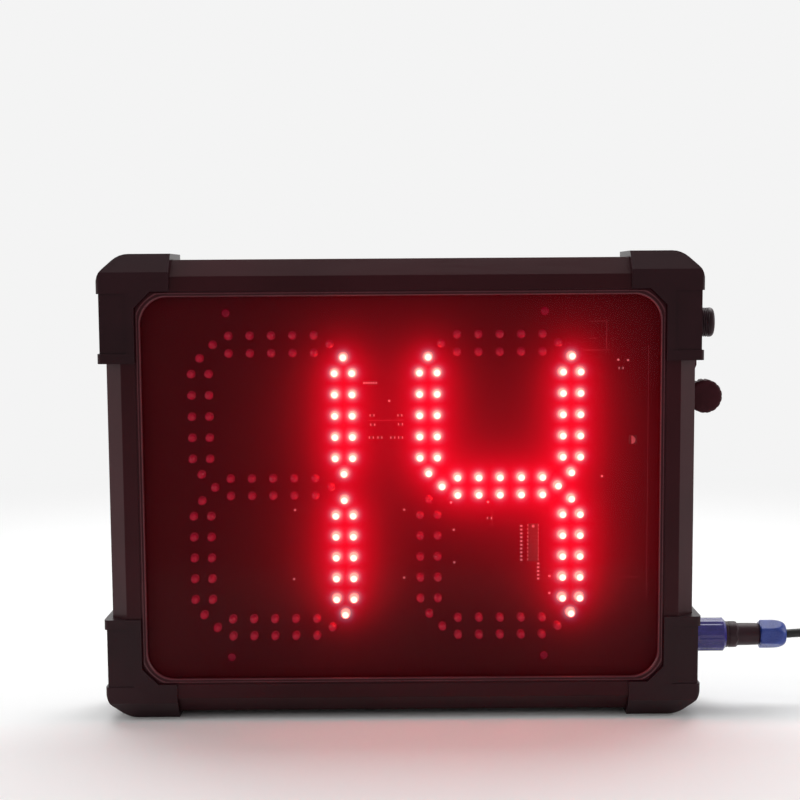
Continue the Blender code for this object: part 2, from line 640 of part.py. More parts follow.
def segment_mesh():
    """One level segment: a strip with pointed ends and its LEDs, joined."""
    tip = SEGMENT_PITCH / 2 - SEGMENT_TIP_GAP
    half = SEGMENT_STRIP_WIDTH / 2
    flat_end = tip - half
    lower = [(-tip, 0), (-flat_end, -half), (flat_end, -half)]
    outline = lower + [(-x, -z) for x, z in lower]
    front = STRIP_BACK_Y - SEGMENT_STRIP_THICKNESS
    strip = extruded("segment_strip", [outline], ALONG_Y, front, STRIP_BACK_Y, tools)
    tip_y = STRIP_BACK_Y - LED_HEIGHT
    seat_y = STRIP_BACK_Y - SEGMENT_STRIP_THICKNESS / 2
    bm = bmesh.new()
    for along, across in led_spots():
        body = seat_y - tip_y - LED_DOME
        for radius_back, radius_front, start, length in (
                (LED_RADIUS, LED_RADIUS, seat_y, body),
                (LED_RADIUS, LED_TIP_RADIUS, tip_y + LED_DOME, LED_DOME)):
            place = Matrix.Translation((along, start - length / 2, across)) @ Matrix.Rotation(pi / 2, 4, "X")
            bmesh.ops.create_cone(bm, cap_ends=True, segments=6, radius1=radius_back, radius2=radius_front,
                                  depth=length, matrix=place)
    bmesh.ops.remove_doubles(bm, verts=bm.verts, dist=1e-6)
    joint_y = tip_y + LED_DOME
    inner = [face for face in bm.faces if all(abs(v.co.y - joint_y) < 1e-6 for v in face.verts)]
    bmesh.ops.delete(bm, geom=inner, context="FACES_ONLY")
    bmesh.ops.recalc_face_normals(bm, faces=bm.faces)
    mesh = bpy.data.meshes.new("segment_leds")
    bm.to_mesh(mesh)
    bm.free()
    leds = bpy.data.objects.new("segment_leds", mesh)
    tools.objects.link(leds)
    boolean(strip, leds, "UNION")
    joined = settled(strip)
    bpy.data.objects.remove(strip)
    bpy.data.objects.remove(leds)
    return joined


level_segment = segment_mesh()
half_pitch = SEGMENT_PITCH / 2
SEGMENT_PLACES = {
    "a": (0, 2, False), "b": (1, 1, True), "c": (1, -1, True), "d": (0, -2, False),
    "e": (-1, -1, True), "f": (-1, 1, True), "g": (0, 0, False),
}
for digit, side in (("tens", -1), ("ones", 1)):
    for letter, (step_x, step_z, stands) in SEGMENT_PLACES.items():
        segment = bpy.data.objects.new(f"{digit}_segment_{letter}", level_segment.copy())
        parts.objects.link(segment)
        segment.location = (digits_x + side * DIGIT_PITCH / 2 + step_x * half_pitch, 0,
                            digits_z + step_z * half_pitch)
        segment.rotation_euler = (0, pi / 2 if stands else 0, 0)
        finish(segment, (0.45, 0.02, 0.03), 0.2)


# Small parts on the digit board's front

chip_width, chip_thickness, chip_length = DRIVER_CHIP
chip_front = BOARD_FRONT_Y - FIT_GAP - chip_thickness
chip = box("driver_chip", (chip_width, chip_thickness, chip_length),
           (DRIVER_CHIP_PLACE[0], chip_front + chip_thickness / 2, DRIVER_CHIP_PLACE[1]))
rounded(chip, 0.0003, 1)
finish(chip, (0.012, 0.012, 0.012), 0.5)

receiver_width, receiver_height = RECEIVER_SIZE
receiver_back = BOARD_FRONT_Y - FIT_GAP
receiver = extruded(
    "light_receiver",
    [[(RECEIVER_PLACE[0] + x, RECEIVER_PLACE[1] + z)
      for x, z in round_rectangle(receiver_width / 2, receiver_height / 2, receiver_width / 3, 3)]],
    ALONG_Y, receiver_back - RECEIVER_DEPTH, receiver_back)
rounded(receiver, 0.0004, 1)
finish(receiver, (0.03, 0.02, 0.03), 0.25)


# Control board, plugged to the digit board's back, and power converter on the back panel

board_x, board_t, board_z = CONTROL_BOARD
header_y = BOARD_BACK_Y + FIT_GAP
control_front = header_y + HEADER_SIZE[1]
control = box("control_board", CONTROL_BOARD,
              (CONTROL_BOARD_PLACE[0], control_front + board_t / 2, CONTROL_BOARD_PLACE[1]))
header = box("control_header", (HEADER_SIZE[0], HEADER_SIZE[1] + board_t / 2, HEADER_SIZE[2]),
             (CONTROL_BOARD_PLACE[0], header_y + HEADER_SIZE[1] / 2 + board_t / 4,
              CONTROL_BOARD_PLACE[1] + board_z / 2 - HEADER_SIZE[2]), tools)
control_chip = box("control_chip", (CONTROL_CHIP[0], CONTROL_CHIP[1] + board_t / 2, CONTROL_CHIP[2]),
                   (CONTROL_BOARD_PLACE[0], control_front + board_t * 0.75 + CONTROL_CHIP[1] / 2,
                    CONTROL_BOARD_PLACE[1]), tools)
for piece in (header, control_chip):
    as_cutter(piece)
    boolean(control, piece, "UNION")
finish(control, (0.01, 0.09, 0.04), 0.45)

module_x, module_y, module_z = POWER_MODULE
module_back = PANEL_FRONT_Y - FIT_GAP
module = box("power_module", POWER_MODULE,
             (POWER_MODULE_PLACE[0], module_back - module_y / 2, POWER_MODULE_PLACE[1]))
flange = box("module_flange", (module_x + 2 * MODULE_FLANGE[0], MODULE_FLANGE[1], module_z * 0.6),
             (POWER_MODULE_PLACE[0], module_back - MODULE_FLANGE[1] / 2, POWER_MODULE_PLACE[1]), tools)
as_cutter(flange)
boolean(module, flange, "UNION")
rounded(module, 0.001, 1)
finish(module, (0.03, 0.03, 0.035), 0.5)


# Back panel and its screws

panel = extruded("back_panel",
                 [panel_outline(0)]
                 + [circle(SCREW_HOLE_RADIUS, place, 12) for place in screw_places]
                 + [circle(SPIGOT_RADIUS + FIT_GAP, place, 12) for place in board_screws],
                 ALONG_Y, PANEL_FRONT_Y, PANEL_BACK_Y)
finish(panel, (0.014, 0.012, 0.013), 0.5, 0.3)

for where, (x, z) in zip(corner_names, screw_places):
    head_front = PANEL_BACK_Y + FIT_GAP
    head_back = head_front + SCREW_HEAD_HEIGHT
    shank_end = head_front - SCREW_LENGTH
    screw = turned(f"panel_screw_{where}",
                   [(shank_end, 0), (shank_end, SCREW_RADIUS), (head_front, SCREW_RADIUS),
                    (head_front, SCREW_HEAD_RADIUS), (head_back - SCREW_HEAD_HEIGHT / 2, SCREW_HEAD_RADIUS),
                    (head_back, SCREW_HEAD_RADIUS * 0.7), (head_back, 0)],
                   ALONG_Y @ Matrix.Rotation(pi, 4, "X"), (x, 0, z), 10)
    finish(screw, (0.30, 0.30, 0.30), 0.35, 0.9)


# Side sockets, their nuts and their wires

def side_socket(name, z, colour):
    """A panel socket: threaded barrel outside, thinner shank through the wall, bore at the mouth."""
    tail = SOCKET_FOOT_X - SOCKET_SHANK_LENGTH
    edge = SOCKET_BARREL_RADIUS / 10
    profile = [
        (tail, 0), (tail, SOCKET_SHANK_RADIUS), (SOCKET_FOOT_X, SOCKET_SHANK_RADIUS),
        (SOCKET_FOOT_X, SOCKET_BARREL_RADIUS), (SOCKET_MOUTH_X - edge, SOCKET_BARREL_RADIUS),
        (SOCKET_MOUTH_X, SOCKET_BARREL_RADIUS - edge), (SOCKET_MOUTH_X, SOCKET_BORE_RADIUS),
        (SOCKET_MOUTH_X - SOCKET_BORE_DEPTH, SOCKET_BORE_RADIUS), (SOCKET_MOUTH_X - SOCKET_BORE_DEPTH, 0),
    ]
    socket = turned(name, profile, Matrix.Rotation(pi / 2, 4, "Y"), (0, SOCKET_DEPTH_PLACE, z), 24)
    return finish(socket, colour, 0.4)


def socket_nut(name, z):
    end = HALF_FRAME_X - RAIL_WALL - FIT_GAP
    centre = (SOCKET_DEPTH_PLACE, z)
    nut = extruded(name, [hexagon(NUT_FLATS, centre, pi / 2), circle(HOLE_RADIUS, centre, 24)],
                   ALONG_X, end - NUT_THICKNESS, end)
    return finish(nut, (0.02, 0.02, 0.02), 0.5)


for name, z in (("power_socket", LEAD_Z), ("spare_socket", SPARE_Z)):
    side_socket(name, z, (0.02, 0.015, 0.017))
    socket_nut(f"{name}_nut", z)


def smooth_points(route, spacing):
    """Points every so often on a smooth curve through a route's own points."""
    route = [Vector(point) for point in route]
    padded = [2 * route[0] - route[1]] + route + [2 * route[-1] - route[-2]]
    points = [route[0]]
    for i in range(1, len(padded) - 2):
        before, start, end, after = padded[i - 1:i + 3]
        steps = max(1, ceil((end - start).length / spacing))
        for k in range(1, steps + 1):
            t = k / steps
            points.append(0.5 * (2 * start + (end - before) * t
                                 + (2 * before - 5 * start + 4 * end - after) * t ** 2
                                 + (3 * start - before - 3 * end + after) * t ** 3))
    return points


def tube(name, route, radius, spacing, parent, resolution=2):
    """A round cord along a route."""
    curve = bpy.data.curves.new(name, "CURVE")
    curve.dimensions = "3D"
    curve.bevel_depth = radius
    curve.bevel_resolution = resolution
    curve.use_fill_caps = True
    points = smooth_points(route, spacing)
    spline = curve.splines.new("POLY")
    spline.points.add(len(points) - 1)
    for point, place in zip(spline.points, points):
        point.co = (*place, 1)
    obj = bpy.data.objects.new(name, curve)
    parts.objects.link(obj)
    return finish(obj, (0.015, 0.015, 0.015), 0.5, parent=parent)


socket_tail_x = SOCKET_FOOT_X - SOCKET_SHANK_LENGTH - FIT_GAP
module_side_x = POWER_MODULE_PLACE[0] + module_x / 2 + FIT_GAP
module_mid_y = module_back - module_y / 2
control_side_x = CONTROL_BOARD_PLACE[0] + board_x / 2 + FIT_GAP
control_mid_y = control_front + board_t / 2


def straight_end(place, way):
    """Where a wire is joined, and two points that lead straight out of it."""
    place, way = Vector(place), Vector(way)
    return [place + way * (WIRE_STRAIGHT_END * share) for share in (0, 0.5, 1)]


module_top_z = POWER_MODULE_PLACE[1] + module_z / 2 + FIT_GAP
control_bottom_z = CONTROL_BOARD_PLACE[1] - board_z / 2 - FIT_GAP
power_start = straight_end((socket_tail_x, SOCKET_DEPTH_PLACE, LEAD_Z), (-1, 0, 0))
power_end = straight_end((module_side_x, module_mid_y, POWER_MODULE_PLACE[1]), (1, 0, 0))
signal_start = straight_end((socket_tail_x, SOCKET_DEPTH_PLACE, SPARE_Z), (-1, 0, 0))
signal_end = straight_end((control_side_x, control_mid_y, CONTROL_BOARD_PLACE[1]), (1, 0, 0))
signal_middle = (signal_start[-1] + signal_end[-1]) / 2 + Vector((0, 0, WIRE_SLACK))
board_start = straight_end((POWER_MODULE_PLACE[0], module_mid_y, module_top_z), (0, 0, 1))
board_end = straight_end((CONTROL_BOARD_PLACE[0], control_mid_y, control_bottom_z), (0, 0, -1))
for name, route in (
        ("power_wires", power_start + power_end[::-1]),
        ("signal_wires", signal_start + [signal_middle] + signal_end[::-1]),
        ("board_wires", board_start + board_end[::-1])):
    tube(name, route, WIRE_RADIUS, WIRE_RADIUS * 4, case, 1)


# Mated plug, its coupling ring and its gland nut

plug_axis = (0, SOCKET_DEPTH_PLACE, LEAD_Z)
along_plug = Matrix.Rotation(pi / 2, 4, "Y")
taper = (PLUG_FRONT_RADIUS - PLUG_REAR_RADIUS) * 0.8
plug = turned("plug_body", [
    (FLANGE_START_X - PLUG_NOSE_LENGTH, 0),
    (FLANGE_START_X - PLUG_NOSE_LENGTH, SOCKET_BORE_RADIUS - FIT_GAP),
    (FLANGE_START_X, SOCKET_BORE_RADIUS - FIT_GAP),
    (FLANGE_START_X, SOCKET_BARREL_RADIUS),
    (FLANGE_END_X, SOCKET_BARREL_RADIUS),
    (FLANGE_END_X, PLUG_FRONT_RADIUS),
    (PLUG_FRONT_END_X - taper, PLUG_FRONT_RADIUS),
    (PLUG_FRONT_END_X, PLUG_REAR_RADIUS),
    (PLUG_REAR_END_X, PLUG_REAR_RADIUS * 0.97),
    (PLUG_REAR_END_X, PLUG_SPIGOT_RADIUS),
    (PLUG_SPIGOT_END_X, PLUG_SPIGOT_RADIUS),
    (PLUG_SPIGOT_END_X, 0),
], along_plug, plug_axis, 24)
finish(plug, (0.03, 0.02, 0.022), 0.45)

ring_centre = (SOCKET_DEPTH_PLACE, LEAD_Z)
ring_pivot = bpy.data.objects.new("coupling_ring_axis", None)
ring_pivot.location = (RING_START_X, SOCKET_DEPTH_PLACE, LEAD_Z)
ring_pivot.parent = case
parts.objects.link(ring_pivot)
ring = extruded("coupling_ring",
                [fluted(RING_RADIUS, RING_FLUTE_DEPTH, RING_FLUTES), circle(PLUG_FRONT_RADIUS + FIT_GAP)],
                ALONG_X, 0, RING_END_X - RING_START_X)
ring_bore = cylinder("ring_bore", THREAD_BORE_RADIUS, ALONG_X, -RING_LIP,
                     FLANGE_END_X + FIT_GAP - RING_START_X)
as_cutter(ring_bore, ring_pivot)
boolean(ring, ring_bore)
finish(ring, (0.07, 0.06, 0.36), 0.35, parent=ring_pivot)

nut_dome = GLAND_LENGTH - GLAND_HEX_LENGTH
gland = extruded("gland_nut", [hexagon(GLAND_FLATS, ring_centre, pi / 2)],
                 ALONG_X, GLAND_START_X, GLAND_END_X)
bore = CORD_RADIUS + FIT_GAP * 1.5
corner_reach = GLAND_FLATS / 2 / cos(pi / 6)
dome_points = [(GLAND_START_X + GLAND_HEX_LENGTH + nut_dome * sin(t * pi / 8) * 0.999,
                GLAND_MOUTH_RADIUS + (corner_reach - GLAND_MOUTH_RADIUS) * cos(t * pi / 8))
               for t in range(5)]
dome = turned("gland_dome",
              [(GLAND_START_X - FIT_GAP, corner_reach * 1.02),
               (GLAND_START_X + GLAND_HEX_LENGTH / 2, corner_reach * 1.02)] + dome_points
              + [(GLAND_END_X - 0.00001, bore), (PLUG_SPIGOT_END_X + FIT_GAP, bore),
                 (PLUG_SPIGOT_END_X + FIT_GAP, PLUG_SPIGOT_RADIUS + FIT_GAP),
                 (GLAND_START_X - FIT_GAP, PLUG_SPIGOT_RADIUS + FIT_GAP)],
              along_plug, plug_axis, 24, tools, closed=True)
as_cutter(dome)
boolean(gland, dome, "INTERSECT")
finish(gland, (0.10, 0.16, 0.55), 0.35)


# Dust cap on its strap, both turning about the spare socket's axis

cap_pivot = bpy.data.objects.new("dust_cap_axis", None)
cap_pivot.location = (0, SOCKET_DEPTH_PLACE, SPARE_Z)
cap_pivot.parent = case
parts.objects.link(cap_pivot)

cap_x = HALF_FRAME_X + FIT_GAP + CAP_RADIUS
cap_centre = (cap_x, -CAP_HANG)
cap_front = CAP_PLUMB_SHIFT - CAP_LENGTH / 2
cap = extruded("dust_cap", [fluted(CAP_RADIUS, CAP_FLUTE_DEPTH, CAP_FLUTES, cap_centre)],
               ALONG_Y, cap_front, cap_front + CAP_LENGTH)
cap_bore = cylinder("cap_bore", THREAD_BORE_RADIUS, ALONG_Y, cap_front + CAP_FLOOR, CAP_LENGTH,
                    cap_centre, 24)
as_cutter(cap_bore, cap_pivot)
boolean(cap, cap_bore)
finish(cap, (0.02, 0.012, 0.016), 0.5, parent=cap_pivot)

strap_x = HALF_CASE_X + FIT_GAP
step_x = HALF_FRAME_X + FIT_GAP
ring_reach = THREAD_BORE_RADIUS + STRAP_RING_WIDTH
drop = STRAP_WIDTH / 2
cap_top = -CAP_HANG + sqrt(CAP_RADIUS ** 2 - (cap_x - step_x - STRAP_THICKNESS) ** 2)
strap_side = [
    (strap_x, -ring_reach + STRAP_RING_WIDTH / 2),
    (strap_x, -STRAP_STEP_IN_AT),
    (step_x, -STRAP_STEP_IN_AT - drop),
    (step_x, cap_top + FIT_GAP * 2),
    (step_x + STRAP_THICKNESS, cap_top + FIT_GAP * 2),
    (step_x + STRAP_THICKNESS, -STRAP_STEP_IN_AT - drop),
    (strap_x + STRAP_THICKNESS, -STRAP_STEP_IN_AT),
    (strap_x + STRAP_THICKNESS, -ring_reach + STRAP_RING_WIDTH / 2),
]
tether = extruded("cap_strap", [circle(ring_reach, steps=24), circle(THREAD_BORE_RADIUS, steps=24)],
                  ALONG_X, strap_x, strap_x + STRAP_THICKNESS)
strap = extruded("strap_drop", [strap_side], ALONG_Y, -STRAP_WIDTH / 2, STRAP_WIDTH / 2, tools)
as_cutter(strap, cap_pivot)
boolean(tether, strap, "UNION")
finish(tether, (0.02, 0.015, 0.018), 0.6, parent=cap_pivot)


# Power lead outside the plug, in the world's own frame

lead_start = CASE_CENTRE + Vector((PLUG_SPIGOT_END_X + FIT_GAP, SOCKET_DEPTH_PLACE, LEAD_Z))
tube("power_cord", [tuple(lead_start)] + LEAD_ROUTE, CORD_RADIUS, CORD_RADIUS * 4, None)
tube("cord_tail", TAIL_ROUTE, CORD_RADIUS, CORD_RADIUS * 4, None)

coil_floor = TIE_THICKNESS + FIT_GAP
coil_top = coil_floor + COIL_HEIGHT
edge = CORD_RADIUS * 0.6
coil_profile = [
    (coil_floor, COIL_INNER_RADIUS + edge), (coil_floor, COIL_OUTER_RADIUS - edge),
    (coil_floor + edge, COIL_OUTER_RADIUS), (coil_top - edge, COIL_OUTER_RADIUS),
    (coil_top, COIL_OUTER_RADIUS - edge), (coil_top, COIL_INNER_RADIUS + edge),
    (coil_top - edge, COIL_INNER_RADIUS), (coil_floor + edge, COIL_INNER_RADIUS),
]
coil = turned("cord_coil", coil_profile, Matrix.Identity(4), (*COIL_CENTRE, 0), COIL_STEPS, closed=True)
finish(coil, (0.015, 0.015, 0.015), 0.5, parent=None)

coil_inner_face = COIL_INNER_RADIUS * cos(pi / COIL_STEPS)
tie_in = sqrt(coil_inner_face ** 2 - (TIE_WIDTH / 2) ** 2) - FIT_GAP
tie_out = COIL_OUTER_RADIUS + FIT_GAP
tie_top = coil_top + FIT_GAP
tie_inner = [(tie_in, TIE_THICKNESS), (tie_out, TIE_THICKNESS), (tie_out, tie_top), (tie_in, tie_top)]
tie_outer_top = tie_top + TIE_THICKNESS
tie_outer = [(tie_in - TIE_THICKNESS, 0), (tie_out + TIE_THICKNESS, 0),
             (tie_out + TIE_THICKNESS, tie_outer_top), (tie_in - TIE_THICKNESS, tie_outer_top)]
tie = extruded("cord_tie", [tie_outer, tie_inner], ALONG_Y, -TIE_WIDTH / 2, TIE_WIDTH / 2)
tie.location = (*COIL_CENTRE, 0)
finish(tie, (0.02, 0.02, 0.02), 0.8, parent=None)

dc_plug = turned("dc_plug", [
    (0, 0), (0, DC_PLUG_RADIUS * 0.75), (DC_PLUG_LENGTH * 0.3, DC_PLUG_RADIUS),
    (DC_PLUG_LENGTH, DC_PLUG_RADIUS), (DC_PLUG_LENGTH, DC_BARREL_RADIUS),
    (DC_PLUG_LENGTH + DC_BARREL_LENGTH, DC_BARREL_RADIUS), (DC_PLUG_LENGTH + DC_BARREL_LENGTH, 0),
], Matrix.Rotation(radians(DC_PLUG_HEADING), 4, "Z") @ Matrix.Rotation(pi / 2, 4, "Y"),
    (*DC_PLUG_START, DC_PLUG_RADIUS + FIT_GAP), 16)
finish(dc_plug, (0.02, 0.02, 0.02), 0.5, parent=None)

for obj in parts.objects:
    if obj.type == "MESH":
        obj.data.shade_smooth()
        obj.data.set_sharp_from_angle(angle=radians(30))
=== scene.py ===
# Outdoor LED countdown timer: finishes, fine detail, studio and camera round the fixed frame.
# Places and the studio are in metres. Profiles, block sizes and the dictionaries of the pieces are in millimetres
# unless a note says otherwise. The front faces -Y.
import math

import bmesh
import bpy
from mathutils import Matrix, Vector


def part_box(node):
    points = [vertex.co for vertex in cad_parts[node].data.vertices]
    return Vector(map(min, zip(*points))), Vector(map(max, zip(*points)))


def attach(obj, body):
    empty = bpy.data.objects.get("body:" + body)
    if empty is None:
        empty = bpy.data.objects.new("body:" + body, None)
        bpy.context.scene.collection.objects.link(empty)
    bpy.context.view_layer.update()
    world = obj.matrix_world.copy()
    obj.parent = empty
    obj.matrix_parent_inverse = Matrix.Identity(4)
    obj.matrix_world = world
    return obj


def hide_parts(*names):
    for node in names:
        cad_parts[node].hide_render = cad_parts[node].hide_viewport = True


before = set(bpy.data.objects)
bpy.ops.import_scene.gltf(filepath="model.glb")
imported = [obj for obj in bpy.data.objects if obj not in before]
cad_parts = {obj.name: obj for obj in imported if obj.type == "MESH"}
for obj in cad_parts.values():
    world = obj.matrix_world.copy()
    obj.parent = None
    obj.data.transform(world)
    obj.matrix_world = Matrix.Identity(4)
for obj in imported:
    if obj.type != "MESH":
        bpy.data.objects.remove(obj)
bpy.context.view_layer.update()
mm = 0.001


# colours and nodes

def paint(hexColour):
    # an sRGB hex colour as the linear one that shaders use
    parts = [int(hexColour[i:i + 2], 16) / 255 for i in (1, 3, 5)]
    return tuple(c / 12.92 if c <= 0.04045 else ((c + 0.055) / 1.055) ** 2.4 for c in parts) + (1.0,)


def feed(tree, node, sources):
    # links an output to each of a node's named inputs
    for key, source in sources.items():
        tree.links.new(source, node.inputs[key])


def addNode(tree, kind, values=None, links=None, **settings):
    # one node with its settings, its input values and what its inputs are linked from
    node = tree.nodes.new("ShaderNode" + kind)
    for key, value in settings.items():
        setattr(node, key, value)
    for key, value in (values or {}).items():
        node.inputs[key].default_value = value
    feed(tree, node, links or {})
    return node


def perMetre(sizeMm):
    # a pattern's scale from the real size of its grain
    return 1 / (sizeMm * mm)


def blankMaterial(name, values):
    # a material with one principled shader, its constants set on its own sockets
    material = bpy.data.materials.new(name)
    material.use_nodes = True
    tree = material.node_tree
    tree.nodes.clear()
    shader = addNode(tree, "BsdfPrincipled", values)
    addNode(tree, "OutputMaterial", links={"Surface": shader.outputs["BSDF"]})
    place = addNode(tree, "TexCoord").outputs["Object"]
    return material, tree, shader, place


def surface(name, look):
    # the base of most finishes: two close tones in broad patches, fine grain, uneven gloss; a look that says how
    # strongly the glow is shown adds the painted light of the lit LEDs as emission, from the glow colours the mesh
    # carries
    look = {"metallic": 0.0, "specular": 0.5, "depthMm": 0.02, "relief": 0.3, "stretch": (1, 1, 1), **look}
    constants = {"Metallic": look["metallic"], "Specular IOR Level": look["specular"]}
    if "ior" in look:
        constants["IOR"] = look["ior"]
    material, tree, shader, place = blankMaterial(name, constants)
    stretched = addNode(tree, "Mapping", {"Scale": look["stretch"]}, {"Vector": place})
    patches = addNode(tree, "TexNoise", {"Scale": perMetre(look["patchMm"]), "Detail": 3.0}, {"Vector": place})
    grain = addNode(tree, "TexNoise", {"Scale": perMetre(look["grainMm"]), "Detail": 2.0},
                    {"Vector": stretched.outputs["Vector"]})
    tones = addNode(tree, "ValToRGB", links={"Fac": patches.outputs["Fac"]})
    for stop, position, colour in zip(tones.color_ramp.elements, (0.35, 0.68), (look["colour"], look["tone"])):
        stop.position, stop.color = position, paint(colour)
    gloss = addNode(tree, "MapRange", {"From Min": 0.3, "From Max": 0.7, "To Min": look["roughness"][0],
                                       "To Max": look["roughness"][1]}, {"Value": grain.outputs["Fac"]})
    relief = addNode(tree, "Bump", {"Strength": look["relief"], "Distance": look["depthMm"] * mm},
                     {"Height": grain.outputs["Fac"]})
    feed(tree, shader, {"Base Color": tones.outputs["Color"], "Roughness": gloss.outputs["Result"],
                        "Normal": relief.outputs["Normal"]})
    if "glowShown" in look:
        shader.inputs["Emission Strength"].default_value = look["glowShown"]
        carried = addNode(tree, "Attribute", attribute_name="glow")
        feed(tree, shader, {"Emission Color": carried.outputs["Color"]})
    return material


# finishes

# Anodised aluminium, extruded then etched: satin black with faint lines along the die's pull; its maroon tint is
# painted red light of the digits
railFinish = {"colour": "#331015", "tone": "#3a1319", "metallic": 0.15, "roughness": (0.28, 0.38),
              "patchMm": 60, "grainMm": 0.5, "relief": 0.2, "specular": 0.17}
levelAnodised = surface("anodisedAluminiumLevel", {**railFinish, "stretch": (0.02, 1, 1)})
uprightAnodised = surface("anodisedAluminiumUpright", {**railFinish, "stretch": (1, 1, 0.02)})

# ABS, injection moulded in an etched tool: fine even leather-like grain, low gloss; its maroon tint is painted red
# light of the digits
mouldedAbs = surface("mouldedAbs", {
    "colour": "#270f14", "tone": "#2e1218", "ior": 1.54, "roughness": (0.28, 0.38),
    "patchMm": 45, "grainMm": 0.45, "relief": 0.25, "specular": 0.17})

# Silicone rubber, extruded seal: dull on its flat, and its smoother ridge and lip are painted paler as two thin
# painted highlight lines; its maroon tint is painted red light of the digits
siliconeSeal = surface("extrudedSilicone", {
    "colour": "#330f15", "tone": "#3a1319", "ior": 1.45, "roughness": (0.36, 0.46),
    "patchMm": 25, "grainMm": 0.6, "specular": 0.17})
siliconeLipHighlight = surface("extrudedSiliconePaintedHighlight", {
    "colour": "#562028", "tone": "#60262e", "ior": 1.45, "roughness": (0.25, 0.33), "patchMm": 25, "grainMm": 0.6})

# Polyester powder coat on sheet aluminium: orange peel about 1 mm across
powderCoat = surface("powderCoatedPanel", {
    "colour": "#1f1b1d", "tone": "#262123", "ior": 1.5, "roughness": (0.38, 0.5),
    "patchMm": 70, "grainMm": 1.1, "depthMm": 0.05})

# Glass filled nylon, moulded: slightly dry and mottled
filledNylon = surface("mouldedNylonBlack", {
    "colour": "#2c151c", "tone": "#341a22", "ior": 1.53, "roughness": (0.36, 0.5),
    "patchMm": 9, "grainMm": 0.4, "depthMm": 0.025, "specular": 0.25})

# Blue nylon of the coupling ring and of the gland nut, moulded: smooth, semi gloss; the ring's violet tint is painted
# red light of the digits
ringNylon = surface("mouldedNylonBlueRingPaintedRed", {
    "colour": "#302774", "tone": "#392f84", "ior": 1.53, "roughness": (0.2, 0.28),
    "patchMm": 7, "grainMm": 0.5, "depthMm": 0.015, "relief": 0.2, "specular": 0.6})
nutNylon = surface("mouldedNylonBlue", {
    "colour": "#2b3b84", "tone": "#344898", "ior": 1.53, "roughness": (0.24, 0.34),
    "patchMm": 7, "grainMm": 0.5, "depthMm": 0.015, "relief": 0.2, "specular": 0.35})

# Soft PVC, moulded cap and strap: waxy, with a slight bloom
softPvc = surface("mouldedSoftPvc", {
    "colour": "#370f16", "tone": "#40131c", "ior": 1.53, "roughness": (0.42, 0.55),
    "patchMm": 6, "grainMm": 0.5, "specular": 0.13})

# PVC sheath, extruded over the cores: semi matt, faintly green in the light
pvcSheath = surface("extrudedPvcSheath", {
    "colour": "#262725", "tone": "#2f302e", "ior": 1.53, "roughness": (0.36, 0.48),
    "patchMm": 12, "grainMm": 0.7, "specular": 0.3})

# PVC moulded over the low voltage plug: even and semi matt
pvcMoulding = surface("overmouldedPvc", {
    "colour": "#222325", "tone": "#2a2b2d", "ior": 1.53, "roughness": (0.38, 0.5), "patchMm": 8, "grainMm": 0.4})

# Epoxy moulding compound of chips and of the power converter: dull, like fine slate
mouldedEpoxy = surface("mouldedEpoxyBlack", {
    "colour": "#1b1b1d", "tone": "#232326", "ior": 1.55, "roughness": (0.5, 0.62), "patchMm": 4, "grainMm": 0.25})

# Fibreglass board with green solder mask: glassy lacquer over a faint weave
greenBoard = surface("greenSolderMask", {
    "colour": "#0d4a2a", "tone": "#125a34", "ior": 1.55, "roughness": (0.28, 0.4),
    "patchMm": 10, "grainMm": 0.5, "depthMm": 0.01})

# Zinc plated steel, rolled and tumbled: bright, a little cloudy
zincSteel = surface("zincPlatedSteel", {
    "colour": "#8d8a8c", "tone": "#a5a2a4", "metallic": 1.0, "roughness": (0.26, 0.4),
    "patchMm": 2, "grainMm": 0.3, "depthMm": 0.008})

# Free machining brass, turned: fine marks of the tool
turnedBrass = surface("turnedBrass", {
    "colour": "#b08d4e", "tone": "#c39f5c", "metallic": 1.0, "roughness": (0.24, 0.36),
    "patchMm": 3, "grainMm": 0.3, "depthMm": 0.01})

# Nickel plated barrel of the low voltage plug, polished: near mirror
nickelPlate = surface("nickelPlatedBrass", {
    "colour": "#b7b3ad", "tone": "#c6c3be", "metallic": 1.0, "roughness": (0.14, 0.22),
    "patchMm": 2, "grainMm": 0.3, "depthMm": 0.004})

# Tinned copper pins, hot levelled: bright and slightly lumpy
tinnedCopper = surface("tinnedCopper", {
    "colour": "#a09a9c", "tone": "#bdb8ba", "metallic": 1.0, "roughness": (0.25, 0.4),
    "patchMm": 0.8, "grainMm": 0.3})

# PVC jacket of the wires inside, extruded over twisted cores: the cores' lay shows as faint slanting waves
wireJacket = surface("extrudedWireJacket", {
    "colour": "#3a3c3e", "tone": "#46484a", "ior": 1.53, "roughness": (0.4, 0.55),
    "patchMm": 6, "grainMm": 2.5, "depthMm": 0.25, "relief": 0.5, "stretch": (1, 1, 0.5)})

# Nylon housing of a wire's plug, moulded in blue: even, semi gloss
housingNylon = surface("mouldedNylonHousing", {
    "colour": "#2c4f8c", "tone": "#34599c", "ior": 1.53, "roughness": (0.32, 0.44),
    "patchMm": 4, "grainMm": 0.4, "depthMm": 0.015})


def hookLoopCloth():
    # Nylon hook and loop tape, woven: a fuzz of loops about 0.8 mm apart with soft sheen
    look = {"colour": "#1d1d20", "tone": "#2d2d31", "loopMm": 0.8, "depthMm": 0.25}
    material, tree, shader, place = blankMaterial("wovenHookLoopTape", {
        "Roughness": 0.85, "IOR": 1.5, "Sheen Weight": 0.3, "Sheen Roughness": 0.5})
    loops = addNode(tree, "TexVoronoi", {"Scale": perMetre(look["loopMm"]), "Randomness": 0.8}, {"Vector": place})
    tones = addNode(tree, "ValToRGB", links={"Fac": loops.outputs["Distance"]})
    tones.color_ramp.elements[0].color = paint(look["tone"])
    tones.color_ramp.elements[1].color = paint(look["colour"])
    relief = addNode(tree, "Bump", {"Strength": 0.6, "Distance": look["depthMm"] * mm},
                     {"Height": loops.outputs["Distance"]}, invert=True)
    feed(tree, shader, {"Base Color": tones.outputs["Color"], "Normal": relief.outputs["Normal"]})
    return material


